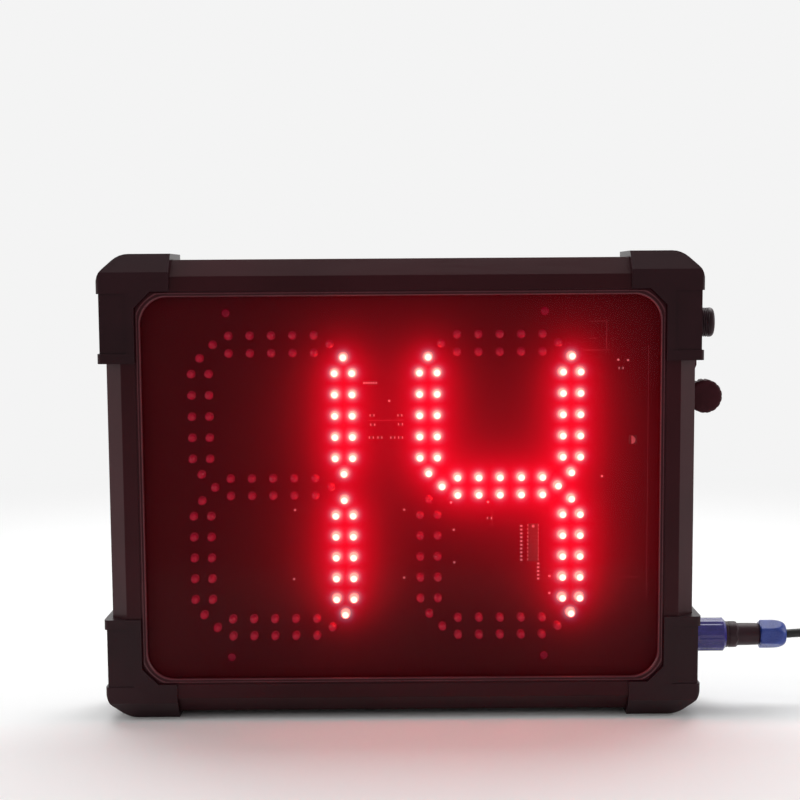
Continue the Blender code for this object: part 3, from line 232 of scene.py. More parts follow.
def castPolycarbonate():
    # Polycarbonate sheet, extruded and hard coated: clear with a faint red smoke tint and soft gloss
    look = {"tint": "#6a0c18", "alpha": 0.16, "waveMm": 90}
    material, tree, shader, place = blankMaterial("hardCoatedPolycarbonate", {
        "Base Color": paint(look["tint"]), "Alpha": look["alpha"], "IOR": 1.36, "Specular IOR Level": 0.3})
    waves = addNode(tree, "TexNoise", {"Scale": perMetre(look["waveMm"]), "Detail": 1.0}, {"Vector": place})
    gloss = addNode(tree, "MapRange", {"To Min": 0.05, "To Max": 0.1}, {"Value": waves.outputs["Fac"]})
    feed(tree, shader, {"Roughness": gloss.outputs["Result"]})
    return material


def ledEpoxy(lit):
    # Red diffused epoxy, cast: idle ones are soft dark blobs that show the painted glow of the rest and a painted
    # glow of their own as emission, lit ones burn out
    look = {"rim": "#a81a34", "heart": "#7c0c20", "glowHeart": "#ff6a5c", "glowRim": "#ff3a34", "litGlow": 13.0}
    material, tree, shader, place = blankMaterial("castRedEpoxyLit" if lit else "castRedEpoxyIdlePaintedGlow", {
        "Roughness": 0.16, "IOR": 1.52, "Specular IOR Level": 0.3,
        "Emission Strength": look["litGlow"] if lit else 1.0})
    fromAxis = addNode(tree, "Attribute", attribute_name="fromAxis").outputs["Fac"]
    body = addNode(tree, "ValToRGB", links={"Fac": fromAxis})
    body.color_ramp.elements[0].color = paint(look["heart"])
    body.color_ramp.elements[1].color = paint(look["rim"])
    cloud = addNode(tree, "TexNoise", {"Scale": perMetre(1.2), "Detail": 2.0}, {"Vector": place})
    haze = addNode(tree, "Bump", {"Strength": 0.1, "Distance": 0.02 * mm}, {"Height": cloud.outputs["Fac"]})
    if lit:
        shine = addNode(tree, "ValToRGB", links={"Fac": fromAxis})
        shine.color_ramp.elements[0].position = 0.72
        shine.color_ramp.elements[0].color = paint(look["glowHeart"])
        shine.color_ramp.elements[1].color = paint(look["glowRim"])
    else:
        shine = addNode(tree, "Attribute", attribute_name="glow")
    feed(tree, shader, {"Base Color": body.outputs["Color"], "Emission Color": shine.outputs["Color"],
                        "Normal": haze.outputs["Normal"]})
    return material


# Fibreglass board with black solder mask, screen coated: satin lacquer over a 0.6 mm glass weave, which shows the
# painted light of the lit LEDs as emission
digitBoardMask = surface("blackSolderMaskPaintedGlow", {
    "colour": "#16060a", "tone": "#1c080d", "ior": 1.4, "roughness": (0.42, 0.55),
    "patchMm": 30, "grainMm": 0.6, "relief": 0.07, "glowShown": 1.0, "specular": 0.09})

# Screen printed epoxy ink of the board's outlines: matt and slightly uneven, a little paler than the mask, and it
# shows the painted light of the lit LEDs more strongly as emission
screenInk = surface("screenPrintedInkPaintedGlow", {
    "colour": "#5a2a33", "tone": "#6b3640", "ior": 1.5, "roughness": (0.6, 0.75),
    "patchMm": 3, "grainMm": 0.3, "depthMm": 0.01, "glowShown": 1.35})

# Tinned copper pads on the board's front, hot levelled: bright and slightly lumpy; their pink tint and their emission
# are painted red light of the digits, with a paler painted glint
litTin = surface("tinnedCopperPadsPaintedGlow", {
    "colour": "#b8a0a6", "tone": "#cbb4ba", "metallic": 0.9, "roughness": (0.3, 0.45),
    "patchMm": 0.8, "grainMm": 0.3, "glowShown": 1.5})

# Zinc plated steel of the board's screws, tumbled: satin; their deep red colour and their emission are painted red
# light of the digits
litZinc = surface("zincPlatedScrewsPaintedRed", {
    "colour": "#5c222c", "tone": "#6c2c38", "metallic": 1.0, "roughness": (0.18, 0.28),
    "patchMm": 2, "grainMm": 0.3, "depthMm": 0.008, "glowShown": 1.0})

# Epoxy moulding compound of the driver chip, which shows the same painted light of the digits as emission
litEpoxyBlack = surface("mouldedEpoxyDriverPaintedGlow", {
    "colour": "#160c0f", "tone": "#1d1114", "ior": 1.5, "roughness": (0.5, 0.62),
    "patchMm": 4, "grainMm": 0.25, "glowShown": 0.8})

# Clear epoxy of the light receiver's lens, cast: glossy, painted pale and faintly pink, with strong emission, as
# painted light of the digits
lensEpoxy = surface("castClearEpoxyPaintedGlow", {
    "colour": "#b07a84", "tone": "#bd8891", "ior": 1.52, "roughness": (0.12, 0.2),
    "patchMm": 2, "grainMm": 0.8, "depthMm": 0.01, "relief": 0.1, "glowShown": 2.2})

tapeCloth = hookLoopCloth()
polycarbonate = castPolycarbonate()
litEpoxy = ledEpoxy(True)
idleEpoxy = ledEpoxy(False)
print("finishes made")


# shapes

def skin(bm, rings, around=False):
    # faces between rings of points, where a ring may be one point, and back to the first ring if asked
    for first, second in zip(rings, rings[1:] + (rings[:1] if around else [])):
        count = max(len(first), len(second))
        for k in range(count):
            n = (k + 1) % count
            spots = (first[k % len(first)], first[n % len(first)], second[n % len(second)], second[k % len(second)])
            bm.faces.new(list(dict.fromkeys(spots)))


def spin(profile, steps, shape=None):
    # a turned form about +Z from (along, radius) points; shape moves a point by its angle
    bm = bmesh.new()
    rings = []
    for along, radius in profile:
        ring = []
        for k in range(steps if radius > 1e-4 else 1):
            turn = 2 * math.pi * k / steps
            a, r = shape(along, radius, turn) if shape and radius > 1e-4 else (along, radius)
            ring.append(bm.verts.new((r * math.cos(turn) * mm, r * math.sin(turn) * mm, a * mm)))
        rings.append(ring)
    skin(bm, rings)
    return bm


def placed(bm, direction, place):
    # turns a form's +Z to a direction and moves its origin to a place
    turned = Matrix.Translation(place) @ Vector(direction).to_track_quat("Z", "Y").to_matrix().to_4x4()
    bmesh.ops.transform(bm, matrix=turned, verts=bm.verts)
    return bm


def piece(name, bm, materials, body="case", stands=(), angle=32):
    # a finished object that rides on a body and may stand for nodes of the frame
    bmesh.ops.recalc_face_normals(bm, faces=bm.faces)
    mesh = bpy.data.meshes.new(name)
    bm.to_mesh(mesh)
    bm.free()
    obj = bpy.data.objects.new(name, mesh)
    bpy.context.scene.collection.objects.link(obj)
    for material in materials if isinstance(materials, list) else [materials]:
        mesh.materials.append(material)
    mesh.shade_smooth()
    mesh.set_sharp_from_angle(angle=math.radians(angle))
    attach(obj, body)
    if stands:
        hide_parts(*stands)
    return obj


def join(target, extra, material=0):
    # adds one form to another, and says which material its faces take
    mesh = bpy.data.meshes.new("joined")
    for face in extra.faces:
        face.material_index = material
    extra.to_mesh(mesh)
    extra.free()
    target.from_mesh(mesh)
    bpy.data.meshes.remove(mesh)


def block(size, place, bevel=0.0):
    # a box by its middle, with its edges rounded
    bm = bmesh.new()
    bmesh.ops.create_cube(bm, size=1.0)
    scaled = Matrix.Diagonal((*(side * mm for side in size), 1))
    bmesh.ops.transform(bm, matrix=Matrix.Translation(place) @ scaled, verts=bm.verts)
    if bevel:
        bmesh.ops.bevel(bm, geom=bm.edges, offset=bevel * mm, segments=2, affect="EDGES", profile=0.5)
    return bm


def put(target, size, place, bevel=0.0, material=0):
    # adds a block to a form
    join(target, block(size, place, bevel), material)


def cutAway(bm, place, outward):
    # removes what lies outward of a plane
    bmesh.ops.bisect_plane(bm, geom=list(bm.verts) + list(bm.edges) + list(bm.faces), plane_co=place,
                           plane_no=outward, clear_outer=True)


def span(node):
    # the lowest and the highest corner of a node's box, and its middle
    low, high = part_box(node)
    return low, high, (low + high) / 2


def dress(nodeName, material, rounding=0.0):
    # keeps a node of the frame, gives it a finish and eases its edges
    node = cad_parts[nodeName]
    node.data.materials.clear()
    node.data.materials.append(material)
    if "custom_normal" in node.data.attributes:
        node.data.attributes.remove(node.data.attributes["custom_normal"])
    node.data.shade_smooth()
    weld = node.modifiers.new("weld", "WELD")
    weld.merge_threshold = 0.00001
    if rounding:
        edge = node.modifiers.new("roundedEdges", "BEVEL")
        edge.width, edge.segments, edge.limit_method = rounding * mm, 2, "ANGLE"
        edge.angle_limit = math.radians(24)
        edge.harden_normals = True
    else:
        node.data.set_sharp_from_angle(angle=math.radians(28))


corners = ("top_left", "top_right", "bottom_left", "bottom_right")

# case frame, window, seal and back panel
for name in ("top_rail", "bottom_rail"):
    dress(name, levelAnodised, 0.35)
for name in ("left_rail", "right_rail"):
    dress(name, uprightAnodised, 0.35)
for name in corners:
    dress(name + "_corner", mouldedAbs, 0.5)
dress("front_window", polycarbonate, 0.3)

# rubber seal: flush with the frame all round, with a low ridge and an inner lip rounded over to the window;
# the section is (across, behind the front), and its stretches painted pale, as painted highlight lines, are the ridge
# and the lip
seal = {"width": 3.3, "innerRadius": 18, "cut": 10.6, "grow": 0.27, "steps": 10,
        "section": [(0.0, 0.1), (0.1, 0.0), (0.95, 0.0), (1.2, -0.12), (1.45, 0.0), (2.45, 0.0), (2.6, 0.02),
                    (2.95, 0.2), (3.3, 0.85)], "paintedHighlight": (3, 4, 6, 7, 8)}
low, high, sealMiddle = span("window_gasket")
halfX, sealDepth, halfZ = (high.x - low.x) / 2 / mm, (high.y - low.y) / mm, (high.z - low.z) / 2 / mm
sealForm = bmesh.new()
rings = []
for across, behind in [(0.0, sealDepth), *seal["section"], (seal["width"], sealDepth)]:
    share = across / seal["width"]
    ring = []
    for sx, sz in ((1, 1), (-1, 1), (-1, -1), (1, -1)):
        quarter = []
        for k in range(seal["steps"] + 1):
            t = k / seal["steps"]
            turn = t * math.pi / 2
            outerX, outerZ = halfX + seal["grow"] - seal["cut"] * t, halfZ + seal["grow"] - seal["cut"] * (1 - t)
            innerX = halfX - seal["width"] - seal["innerRadius"] * (1 - math.cos(turn))
            innerZ = halfZ - seal["width"] - seal["innerRadius"] * (1 - math.sin(turn))
            quarter.append((sealMiddle.x + sx * (outerX + (innerX - outerX) * share) * mm, low.y + behind * mm,
                            sealMiddle.z + sz * (outerZ + (innerZ - outerZ) * share) * mm))
        ring += quarter if sx * sz > 0 else quarter[::-1]
    rings.append([sealForm.verts.new(spot) for spot in ring])
skin(sealForm, rings, around=True)
for k, face in enumerate(sealForm.faces):
    face.material_index = int(k // len(rings[0]) in seal["paintedHighlight"])
piece("windowSeal", sealForm, [siliconeSeal, siliconeLipHighlight], stands=["window_gasket"], angle=40)
dress("back_panel", powderCoat, 0.3)
print("case frame dressed")


# pan head screws with a cross recess, in the digit board and in the back panel
screw = {"head": 2.9, "rise": 2.2, "least": 0.25, "shank": 1.5, "recess": 1.0, "arm": 1.7, "armWidth": 0.75,
         "ownGlow": (0.075, 0.0, 0.006)}


def screwHead(along, radius, turn):
    # the cross recess: four narrow arms that sink towards the axis
    arm = abs(math.sin(2 * turn)) * radius
    if along > screw["rise"] * 0.6 and radius < screw["arm"] and arm < screw["armWidth"]:
        along -= screw["recess"] * (1 - radius / screw["arm"] * 0.6)
    return along, radius


def panScrew(name, node, outward, finish):
    low, high, place = span(node)
    length = (high.y - low.y) / mm - screw["rise"]
    profile = [(max(screw["rise"] * math.cos(t * math.pi / 20), screw["least"]),
                screw["head"] * math.sin(t * math.pi / 20)) for t in range(11)]
    profile += [(0, screw["head"]), (0, screw["shank"]), (-length, screw["shank"] * 0.9), (-length, 0)]
    place.y = (low.y if outward < 0 else high.y) - outward * screw["rise"] * mm
    bm = placed(spin(profile, 48, screwHead), (0, outward, 0), place)
    # board screws show the painted glow of the digits and a painted red glow of their own
    if finish is litZinc:
        lightUp(bm, own=screw["ownGlow"])
    piece(name, bm, finish, stands=[node], angle=40)


for name in corners:
    panScrew("panelScrew_" + name, "panel_screw_" + name, 1, zincSteel)
    dress("board_standoff_" + name, turnedBrass, 0.15)
print("panel screws and standoffs made")


# LEDs: 5 mm round ones, twelve to a segment, in five pairs and a single at each end
led = {"radius": 2.5, "flange": 2.9, "flangeHeight": 1.0, "pitch": 14, "rows": 11.5, "endInset": 8.75,
       "halfPitch": 47.1, "steps": 20}
litSegments = ("tens_segment_b", "tens_segment_c",
               "ones_segment_b", "ones_segment_c", "ones_segment_f", "ones_segment_g")
litPlaces = []


def ledForm(height):
    # flange with its flat side, straight body and round dome
    radius, flat = led["radius"], led["radius"] * 1.02
    shoulder = height - radius
    profile = [(0, 0), (0, led["flange"]), (led["flangeHeight"], led["flange"]),
               (led["flangeHeight"] * 1.15, radius), (shoulder, radius)]
    profile += [(shoulder + radius * math.sin(t * math.pi / 12), radius * math.cos(t * math.pi / 12))
                for t in range(1, 6)] + [(height, 0)]
    return spin(profile, led["steps"], lambda along, r, turn: (
        along, flat / math.cos(turn) if r > flat and math.cos(turn) * r > flat else r))


ledSets = []
reach = led["halfPitch"] - led["endInset"]
spots = [(i * led["pitch"], row * led["rows"] / 2) for i in range(-2, 3) for row in (-1, 1)]
spots += [(-reach, 0), (reach, 0)]
for digit in ("tens", "ones"):
    for letter in "abcdefg":
        node = f"{digit}_segment_{letter}"
        low, high, base = span(node)
        upright = letter in "bcef"
        places = [(base.x + (across if upright else along) * mm, base.z + (along if upright else across) * mm)
                  for along, across in spots]
        ledSets.append((node, f"{digit}Leds_{letter}", places, low.y, high.y))
        if node in litSegments:
            litPlaces += places

# painted light of the lit LEDs on the board's front, shown as emission: a wide red flood, weaker low down (from a
# height and over one, both in metres), and a paler halo close to each lit LED
glow = {"flood": 898.0, "spreadMm": 14.0, "least": 0.004, "most": 1.35, "green": 0.5, "greenFadeMm": 0.95,
        "blue": 0.42, "blueFadeMm": 1.3, "haloFromMm": 2.5, "floodBlue": 0.012, "window": 0.84,
        "fadeFrom": 0.109, "fadeOver": 0.070, "fadeBy": 0.62}


def smoothStep(t):
    t = min(1, max(0, t))
    return t * t * (3 - 2 * t)


def glowAt(x, z, share=1.0, own=(0, 0, 0)):
    # the linear colour of that painted light at a spot of the board, with the painted glow the spot adds of its own
    total, nearest = 0.0, 1e9
    for ledX, ledZ in litPlaces:
        away = ((x - ledX) ** 2 + (z - ledZ) ** 2) / mm ** 2
        nearest = min(nearest, away)
        total += (away + glow["spreadMm"] ** 2) ** -1.5
    nearest = max(0, math.sqrt(nearest) - glow["haloFromMm"])
    fade = 1 - glow["fadeBy"] * smoothStep((glow["fadeFrom"] - z) / glow["fadeOver"])
    red = min(glow["most"], glow["flood"] * total * fade + glow["least"])
    green = glow["green"] * math.exp(-nearest / glow["greenFadeMm"])
    blue = glow["blue"] * math.exp(-nearest / glow["blueFadeMm"]) + glow["floodBlue"] * red
    return [(share * c + extra) / glow["window"] for c, extra in zip((red, green, blue), own)] + [1.0]


def lightUp(bm, share=1.0, own=(0, 0, 0)):
    # gives each point of a piece on the board the painted glow of its place
    layer = bm.verts.layers.float_color.new("glow")
    for vert in bm.verts:
        vert[layer] = glowAt(vert.co.x, vert.co.z, share, own)


# idle LEDs: the painted glow of the lit ones and a painted glow of their own, fading towards each LED's rim
idle = {"own": (0.165, 0.002, 0.011), "share": 1.0, "edge": 0.66}
for node, name, places, front, back in ledSets:
    isLit = node in litSegments
    bm = bmesh.new()
    for x, z in places:
        join(bm, placed(ledForm((back - front) / mm), (0, -1, 0), (x, back, z)))
    axisLayer = bm.verts.layers.float.new("fromAxis")
    glowLayer = bm.verts.layers.float_color.new("glow")
    perLed = len(bm.verts) // len(places)
    bm.verts.ensure_lookup_table()
    for k, (x, z) in enumerate(places):
        full = [0, 0, 0, 1] if isLit else glowAt(x, z, idle["share"], idle["own"])
        for vert in bm.verts[k * perLed:(k + 1) * perLed]:
            out = math.hypot(vert.co.x - x, vert.co.z - z) / (led["radius"] * mm)
            vert[axisLayer] = out
            vert[glowLayer] = [c * (1 - idle["edge"] * min(1, out) ** 2) for c in full[:3]] + [1.0]
    piece(name, bm, litEpoxy if isLit else idleEpoxy, stands=[node], angle=50)
print("LEDs made:", len(litPlaces), "lit")


# digit board: a grid that carries the painted glow, finer round the lit LEDs
board = {"cell": 2.2, "fineWithin": 7.5, "fineCuts": 2}
low, high, boardMiddle = span("digit_board")
boardFront = low.y
bm = bmesh.new()
columns, rows = (round(length / (board["cell"] * mm)) for length in (high.x - low.x, high.z - low.z))
grid = [[bm.verts.new((low.x + (high.x - low.x) * i / columns, low.y, low.z + (high.z - low.z) * j / rows))
         for j in range(rows + 1)] for i in range(columns + 1)]
for i in range(columns):
    for j in range(rows):
        bm.faces.new((grid[i][j], grid[i + 1][j], grid[i + 1][j + 1], grid[i][j + 1]))
made = bmesh.ops.extrude_edge_only(bm, edges=[edge for edge in bm.edges if len(edge.link_faces) == 1])["geom"]
for vert in made:
    if isinstance(vert, bmesh.types.BMVert):
        vert.co.y = high.y
bmesh.ops.contextual_create(bm, geom=[e for e in made if isinstance(e, bmesh.types.BMEdge)
                                      and all(abs(v.co.y - high.y) < 1e-7 for v in e.verts)])
near = set()
for face in bm.faces:
    spot = face.calc_center_median()
    if len(face.verts) == 4 and spot.y < low.y + 0.1 * mm:
        if any(max(abs(spot.x - x), abs(spot.z - z)) < board["fineWithin"] * mm for x, z in litPlaces):
            near.update(face.edges)
bmesh.ops.subdivide_edges(bm, edges=list(near), cuts=board["fineCuts"], use_grid_fill=True)
lightUp(bm)
piece("digitBoard", bm, digitBoardMask, stands=["digit_board"])

# black film round the board: it lies on the board's edge and closes the view past it to the frame's shelf
film = {"over": 1.2, "beyondSides": 6.4, "beyondEnds": 4.9, "thick": 0.15, "gap": 0.03, "cuts": 60, "cutFrom": 100,
        "share": 0.85}
surround = bmesh.new()
halfX, halfZ = (high.x - low.x) / 2 / mm, (high.z - low.z) / 2 / mm
outX, outZ = halfX + film["beyondSides"], halfZ + film["beyondEnds"]
inX, inZ = halfX - film["over"], halfZ - film["over"]
filmY = low.y - (film["thick"] / 2 + film["gap"]) * mm
for sx, sz, sizeX, sizeZ in ((0, 1, outX * 2, outZ - inZ), (0, -1, outX * 2, outZ - inZ),
                             (1, 0, outX - inX, inZ * 2), (-1, 0, outX - inX, inZ * 2)):
    strip = block((sizeX, film["thick"], sizeZ), (boardMiddle.x + sx * (outX + inX) / 2 * mm, filmY,
                                                  boardMiddle.z + sz * (outZ + inZ) / 2 * mm))
    longEdges = [e for e in strip.edges if e.calc_length() > film["cutFrom"] * mm]
    bmesh.ops.subdivide_edges(strip, edges=longEdges, cuts=film["cuts"], use_grid_fill=True)
    join(surround, strip)
# the film shows the board's painted glow, a little weaker
lightUp(surround, film["share"])
piece("boardSurround", surround, digitBoardMask)
for name in corners:
    panScrew("boardScrew_" + name, "board_screw_" + name, -1, litZinc)
print("digit board made")


# small parts on the digit board's front, placed in millimetres from the case's centre
marks = {
    "centre": (-11.6, 154),
    "lines": [((124.3, 108.3), (135.3, 108.3)), ((135.3, 108.3), (135.3, 90.6)), ((124.4, 97.2), (129.0, 97.2)),
              ((121.1, 89.4), (137.6, 89.4)), ((163.0, 92.4), (163.0, -77.8)), ((145.3, -62.0), (158.7, -62.0)),
              ((-22.0, 44.0), (2.0, 44.0)), ((-8.0, -45.0), (-2.4, -45.0)), ((60.0, -16.0), (60.0, -27.0))],
    "resistors": [(-19.2, 47.3), (-0.8, 47.2), (-18.8, 41.1), (-0.5, 41.3), (-19.8, 32.6), (-14.1, 32.6),
                  (-5.6, 32.5), (-0.5, 32.5), (58.2, -21.7), (144.9, 77.4)],
    "pads": [(143.1, 82.9), (149.5, 82.6), (132.9, 5.9), (-7.8, 56.8), (1.6, -15.7), (32.7, -11.1), (57.3, -10.9),
             (34.5, -29.4), (34.8, -51.3), (98.2, -61.0), (98.2, -72.5), (-70.9, -15.4), (-72.2, -61.9),
             (1.3, -61.4)],
    "rowPads": [(-24.3 + 1.6 * k, 68.7) for k in range(6)],
    "chipPads": [(79.4, -27.1 - 2.54 * k) for k in range(10)] + [(90.7, -52.5 - 2.54 * k) for k in range(5)],
    "lineWidth": 0.35, "pad": [(0, 0.75), (0.12, 0.75), (0.35, 0.55), (0.5, 0)], "rowPad": (0.8, 0.14, 1.3),
    "chipPad": (1.5, 0.16, 1.1), "resistor": (3.1, 0.55, 1.5), "cap": 0.5, "padPaintedGlint": (0.16, 0.045, 0.055)}


def onBoard(x, z, out=0.0):
    # a place on the board's front from millimetres beside and above the case's centre
    return Vector(((marks["centre"][0] + x) * mm, boardFront - out * mm, (marks["centre"][1] + z) * mm))


ink, solder, resistors = bmesh.new(), bmesh.new(), bmesh.new()
for (x1, z1), (x2, z2) in marks["lines"]:
    size = (abs(x2 - x1) + marks["lineWidth"], 0.06, abs(z2 - z1) + marks["lineWidth"])
    put(ink, size, onBoard((x1 + x2) / 2, (z1 + z2) / 2, 0.04))
for x, z in marks["pads"]:
    join(solder, placed(spin(marks["pad"], 14), (0, -1, 0), onBoard(x, z, 0.02)))
for x, z in marks["rowPads"]:
    put(solder, marks["rowPad"], onBoard(x, z, 0.08))
for x, z in marks["chipPads"]:
    put(solder, marks["chipPad"], onBoard(x, z, 0.09), 0.05)
width, height, across = marks["resistor"]
for x, z in marks["resistors"]:
    for end in (-1, 1):
        put(solder, (marks["cap"], height, across),
            onBoard(x + end * (width - marks["cap"]) / 2, z, height / 2 + 0.02), 0.08)
    put(resistors, (width - 2 * marks["cap"], height * 0.9, across), onBoard(x, z, height * 0.45 + 0.03), 0.04)
# outlines, pads and resistors take the painted glow of the digits
lightUp(ink)
piece("boardOutlines", ink, screenInk)
# pads: the painted glow of the digits and a paler painted glint of their own
lightUp(solder, own=marks["padPaintedGlint"])
piece("boardPads", solder, litTin)
lightUp(resistors)
piece("boardResistors", resistors, litEpoxyBlack)

# driver chip: a moulded body with its notch, and ten bent legs a side that come down on the board
chip = {"body": (6.3, 3.1, 25.0), "legs": 10, "pitch": 2.54, "leg": 0.5, "shoulder": 1.35, "legOut": 3.55,
        "notch": 1.0}
low, high, chipMiddle = span("driver_chip")
bodyY = low.y + chip["body"][1] / 2 * mm
chipForm = block(chip["body"], (chipMiddle.x, bodyY, chipMiddle.z), 0.25)
for row in (-1, 1):
    for k in range(chip["legs"]):
        z = chipMiddle.z + (k - (chip["legs"] - 1) / 2) * chip["pitch"] * mm
        x = chipMiddle.x + row * chip["legOut"] * mm
        put(chipForm, (0.9, 0.25, chip["shoulder"]), (x - row * 0.3 * mm, bodyY, z), 0.04, 1)
        put(chipForm, (0.25, (high.y - bodyY) / mm, chip["leg"] * 1.6), (x, (high.y + bodyY) / 2, z), 0.04, 1)
notch = spin([(0, 0), (0, chip["notch"]), (0.06, chip["notch"]), (0.06, 0)], 20)
join(chipForm, placed(notch, (0, -1, 0), (chipMiddle.x, low.y + 0.04 * mm, high.z - 1.6 * mm)), 1)
# the chip takes the painted glow of the digits
lightUp(chipForm)
piece("driverChip", chipForm, [litEpoxyBlack, litTin], stands=["driver_chip"])

# light receiver: a dark block with a half round lens at its left side
receiver = {"back": 1.4, "lensLeft": 1.2, "lens": [(0, 0), (0, 2.6), (1.9, 2.6), (2.6, 2.2), (2.95, 1.2), (3.0, 0)]}
low, high, receiverMiddle = span("light_receiver")
receiverForm = block(((high.x - low.x) / mm, receiver["back"], (high.z - low.z) / mm),
                     (receiverMiddle.x, high.y - 0.75 * mm, receiverMiddle.z), 0.3)
lensX = receiverMiddle.x - receiver["lensLeft"] * mm
lens = placed(spin(receiver["lens"], 32), (0, -1, 0), (lensX, high.y - receiver["back"] * mm, receiverMiddle.z))
cutAway(lens, (lensX, 0, 0), (-1, 0, 0))
bmesh.ops.holes_fill(lens, edges=[e for e in lens.edges if len(e.link_faces) == 1])
join(receiverForm, lens, 1)
# the receiver takes the painted glow of the digits
lightUp(receiverForm)
piece("lightReceiver", receiverForm, [litEpoxyBlack, lensEpoxy], stands=["light_receiver"])
print("board parts made")


# control board behind the digit board: header, controller with its pins, small parts and a blue connector
control = {"thick": 1.6, "behind": 1.8, "header": (40.0, 9.4, 5.5), "pinPitch": 2.54, "pins": 15,
           "chip": (12.0, 1.5, 12.0), "leads": 11, "leadPitch": 1.0, "leadOut": 6.4, "parts": 12, "partPitch": 5.2,
           "pinFront": (0.64, 1.4, 0.64), "pinBack": (0.64, 0.9, 0.64), "part": (2.0, 0.6, 1.2),
           "partEnd": (0.4, 0.66, 1.25), "cansAt": (-20, -11),
           "connector": (10.0, 6.0, 6.0),
           "can": [(0, 0), (0, 3.1), (0.5, 3.15), (1.0, 2.95), (1.5, 3.15), (7.2, 3.15), (7.6, 2.8), (7.6, 0)]}
low, high, centre = span("control_board")
boardBack = high.y - control["behind"] * mm


def behindBoard(x, z, out):
    # a place from millimetres beside and above the control board's middle and behind its back face
    return centre.x + x * mm, boardBack + out * mm, centre.z + z * mm


plate = block(((high.x - low.x) / mm, control["thick"], (high.z - low.z) / mm),
              behindBoard(0, 0, -control["thick"] / 2), 0.15)
headerUp = (high.z - centre.z) / mm - control["header"][2]
put(plate, control["header"], behindBoard(0, headerUp, -control["thick"] - control["header"][1] / 2), 0.3, 1)
for k in range(control["pins"]):
    x = (k - (control["pins"] - 1) / 2) * control["pinPitch"]
    put(plate, control["pinFront"], (centre.x + x * mm, low.y + 0.75 * mm, centre.z + headerUp * mm), 0.1, 2)
    put(plate, control["pinBack"], behindBoard(x, headerUp, 0.4), 0.1, 2)
put(plate, control["chip"], behindBoard(0, 0, control["chip"][1] / 2 + 0.25), 0.2, 1)
for k in range(control["leads"]):
    along = (k - (control["leads"] - 1) / 2) * control["leadPitch"]
    for out in (-control["leadOut"], control["leadOut"]):
        put(plate, (1.1, 0.2, 0.4), behindBoard(out, along, 0.2), 0, 2)
        put(plate, (0.4, 0.2, 1.1), behindBoard(along, out, 0.2), 0, 2)
for k in range(control["parts"]):
    x, z = -30 + control["partPitch"] * k, -14 - 3 * (k % 3)
    put(plate, control["part"], behindBoard(x, z, 0.3), 0.06, 1)
    for end in (-1, 1):
        put(plate, control["partEnd"], behindBoard(x + end, z, 0.32), 0.06, 2)
put(plate, control["connector"], behindBoard(26, -18, -control["thick"] - control["connector"][1] / 2), 0.4, 3)
for x in control["cansAt"]:
    join(plate, placed(spin(control["can"], 28), (0, -1, 0), behindBoard(x, -16, -control["thick"])), 4)
piece("controlBoard", plate, [greenBoard, mouldedEpoxy, tinnedCopper, housingNylon, zincSteel],
      stands=["control_board"])

# power converter: a potted block with a stepped lid and two slotted feet screwed down
converter = {"body": (62.0, 18.0, 42.0), "lid": (59.0, 2.2, 39.0), "foot": (10.0, 3.0, 25.2), "screwsAt": 7,
             "washer": [(0, 0), (0, 3.0), (0.5, 3.0), (0.5, 2.2), (1.6, 1.7), (1.8, 0)]}
low, high, centre = span("power_module")
footLength, footThick, footUp = converter["foot"]
moduleForm = block(converter["body"], (centre.x, centre.y + 1.0 * mm, centre.z), 0.9)
put(moduleForm, converter["lid"], (centre.x, low.y + converter["lid"][1] / 2 * mm, centre.z), 0.6)
for end in (-1, 1):
    footX = centre.x + end * (converter["body"][0] + footLength) / 2 * mm
    put(moduleForm, (footLength + 0.6, footThick, footUp),
        (footX - end * 0.3 * mm, high.y - footThick / 2 * mm, centre.z), 0.5)
    for along in (-converter["screwsAt"], converter["screwsAt"]):
        place = (footX, high.y - footThick * mm, centre.z + along * mm)
        join(moduleForm, placed(spin(converter["washer"], 24), (0, -1, 0), place), 1)
piece("powerConverter", moduleForm, [mouldedEpoxy, zincSteel], stands=["power_module"])

for name in ("power_wires", "signal_wires", "board_wires"):
    dress(name, wireJacket)
print("inner parts made")

# right side: both sockets, the plug in the lower one, and the cap that hangs beside the case
side = {"axisY": 10, "spareZ": 260.5, "leadZ": 47.5, "foot": 184.7, "mouth": 197.8, "tail": 166.9,
        "barrel": 9.8, "shank": 7.7, "bore": 7.0, "boreDepth": 8.5, "pitch": 1.2, "threadDepth": 0.5, "lip": 2.3,
        "pinCircle": 3.3, "pin": [(0, 0.95), (5.6, 0.95), (6.1, 0.75), (6.35, 0.4), (6.4, 0)], "key": (7.0, 1.8, 0.9)}


def onAxis(x, z):
    # a place on a socket's axis, from millimetres
    return Vector((x, side["axisY"], z)) * mm


def steps(start, end, count):
    return [start + (end - start) * k / count for k in range(count + 1)]


def threadShape(start, end, crest, depth, pitch):
    # a helical thread on the points that lie between start and end, fading at both ends
    def shape(along, radius, turn):
        if start < along < end and abs(radius - crest) < 1e-3:
            fade = min(1, (along - start) / (pitch * 0.6), (end - along) / (pitch * 0.6))
            wave = 0.5 - 0.5 * math.cos(2 * math.pi * (along / pitch - turn / (2 * math.pi)))
            radius -= depth * fade * min(1, wave * 1.3)
        return along, radius
    return shape


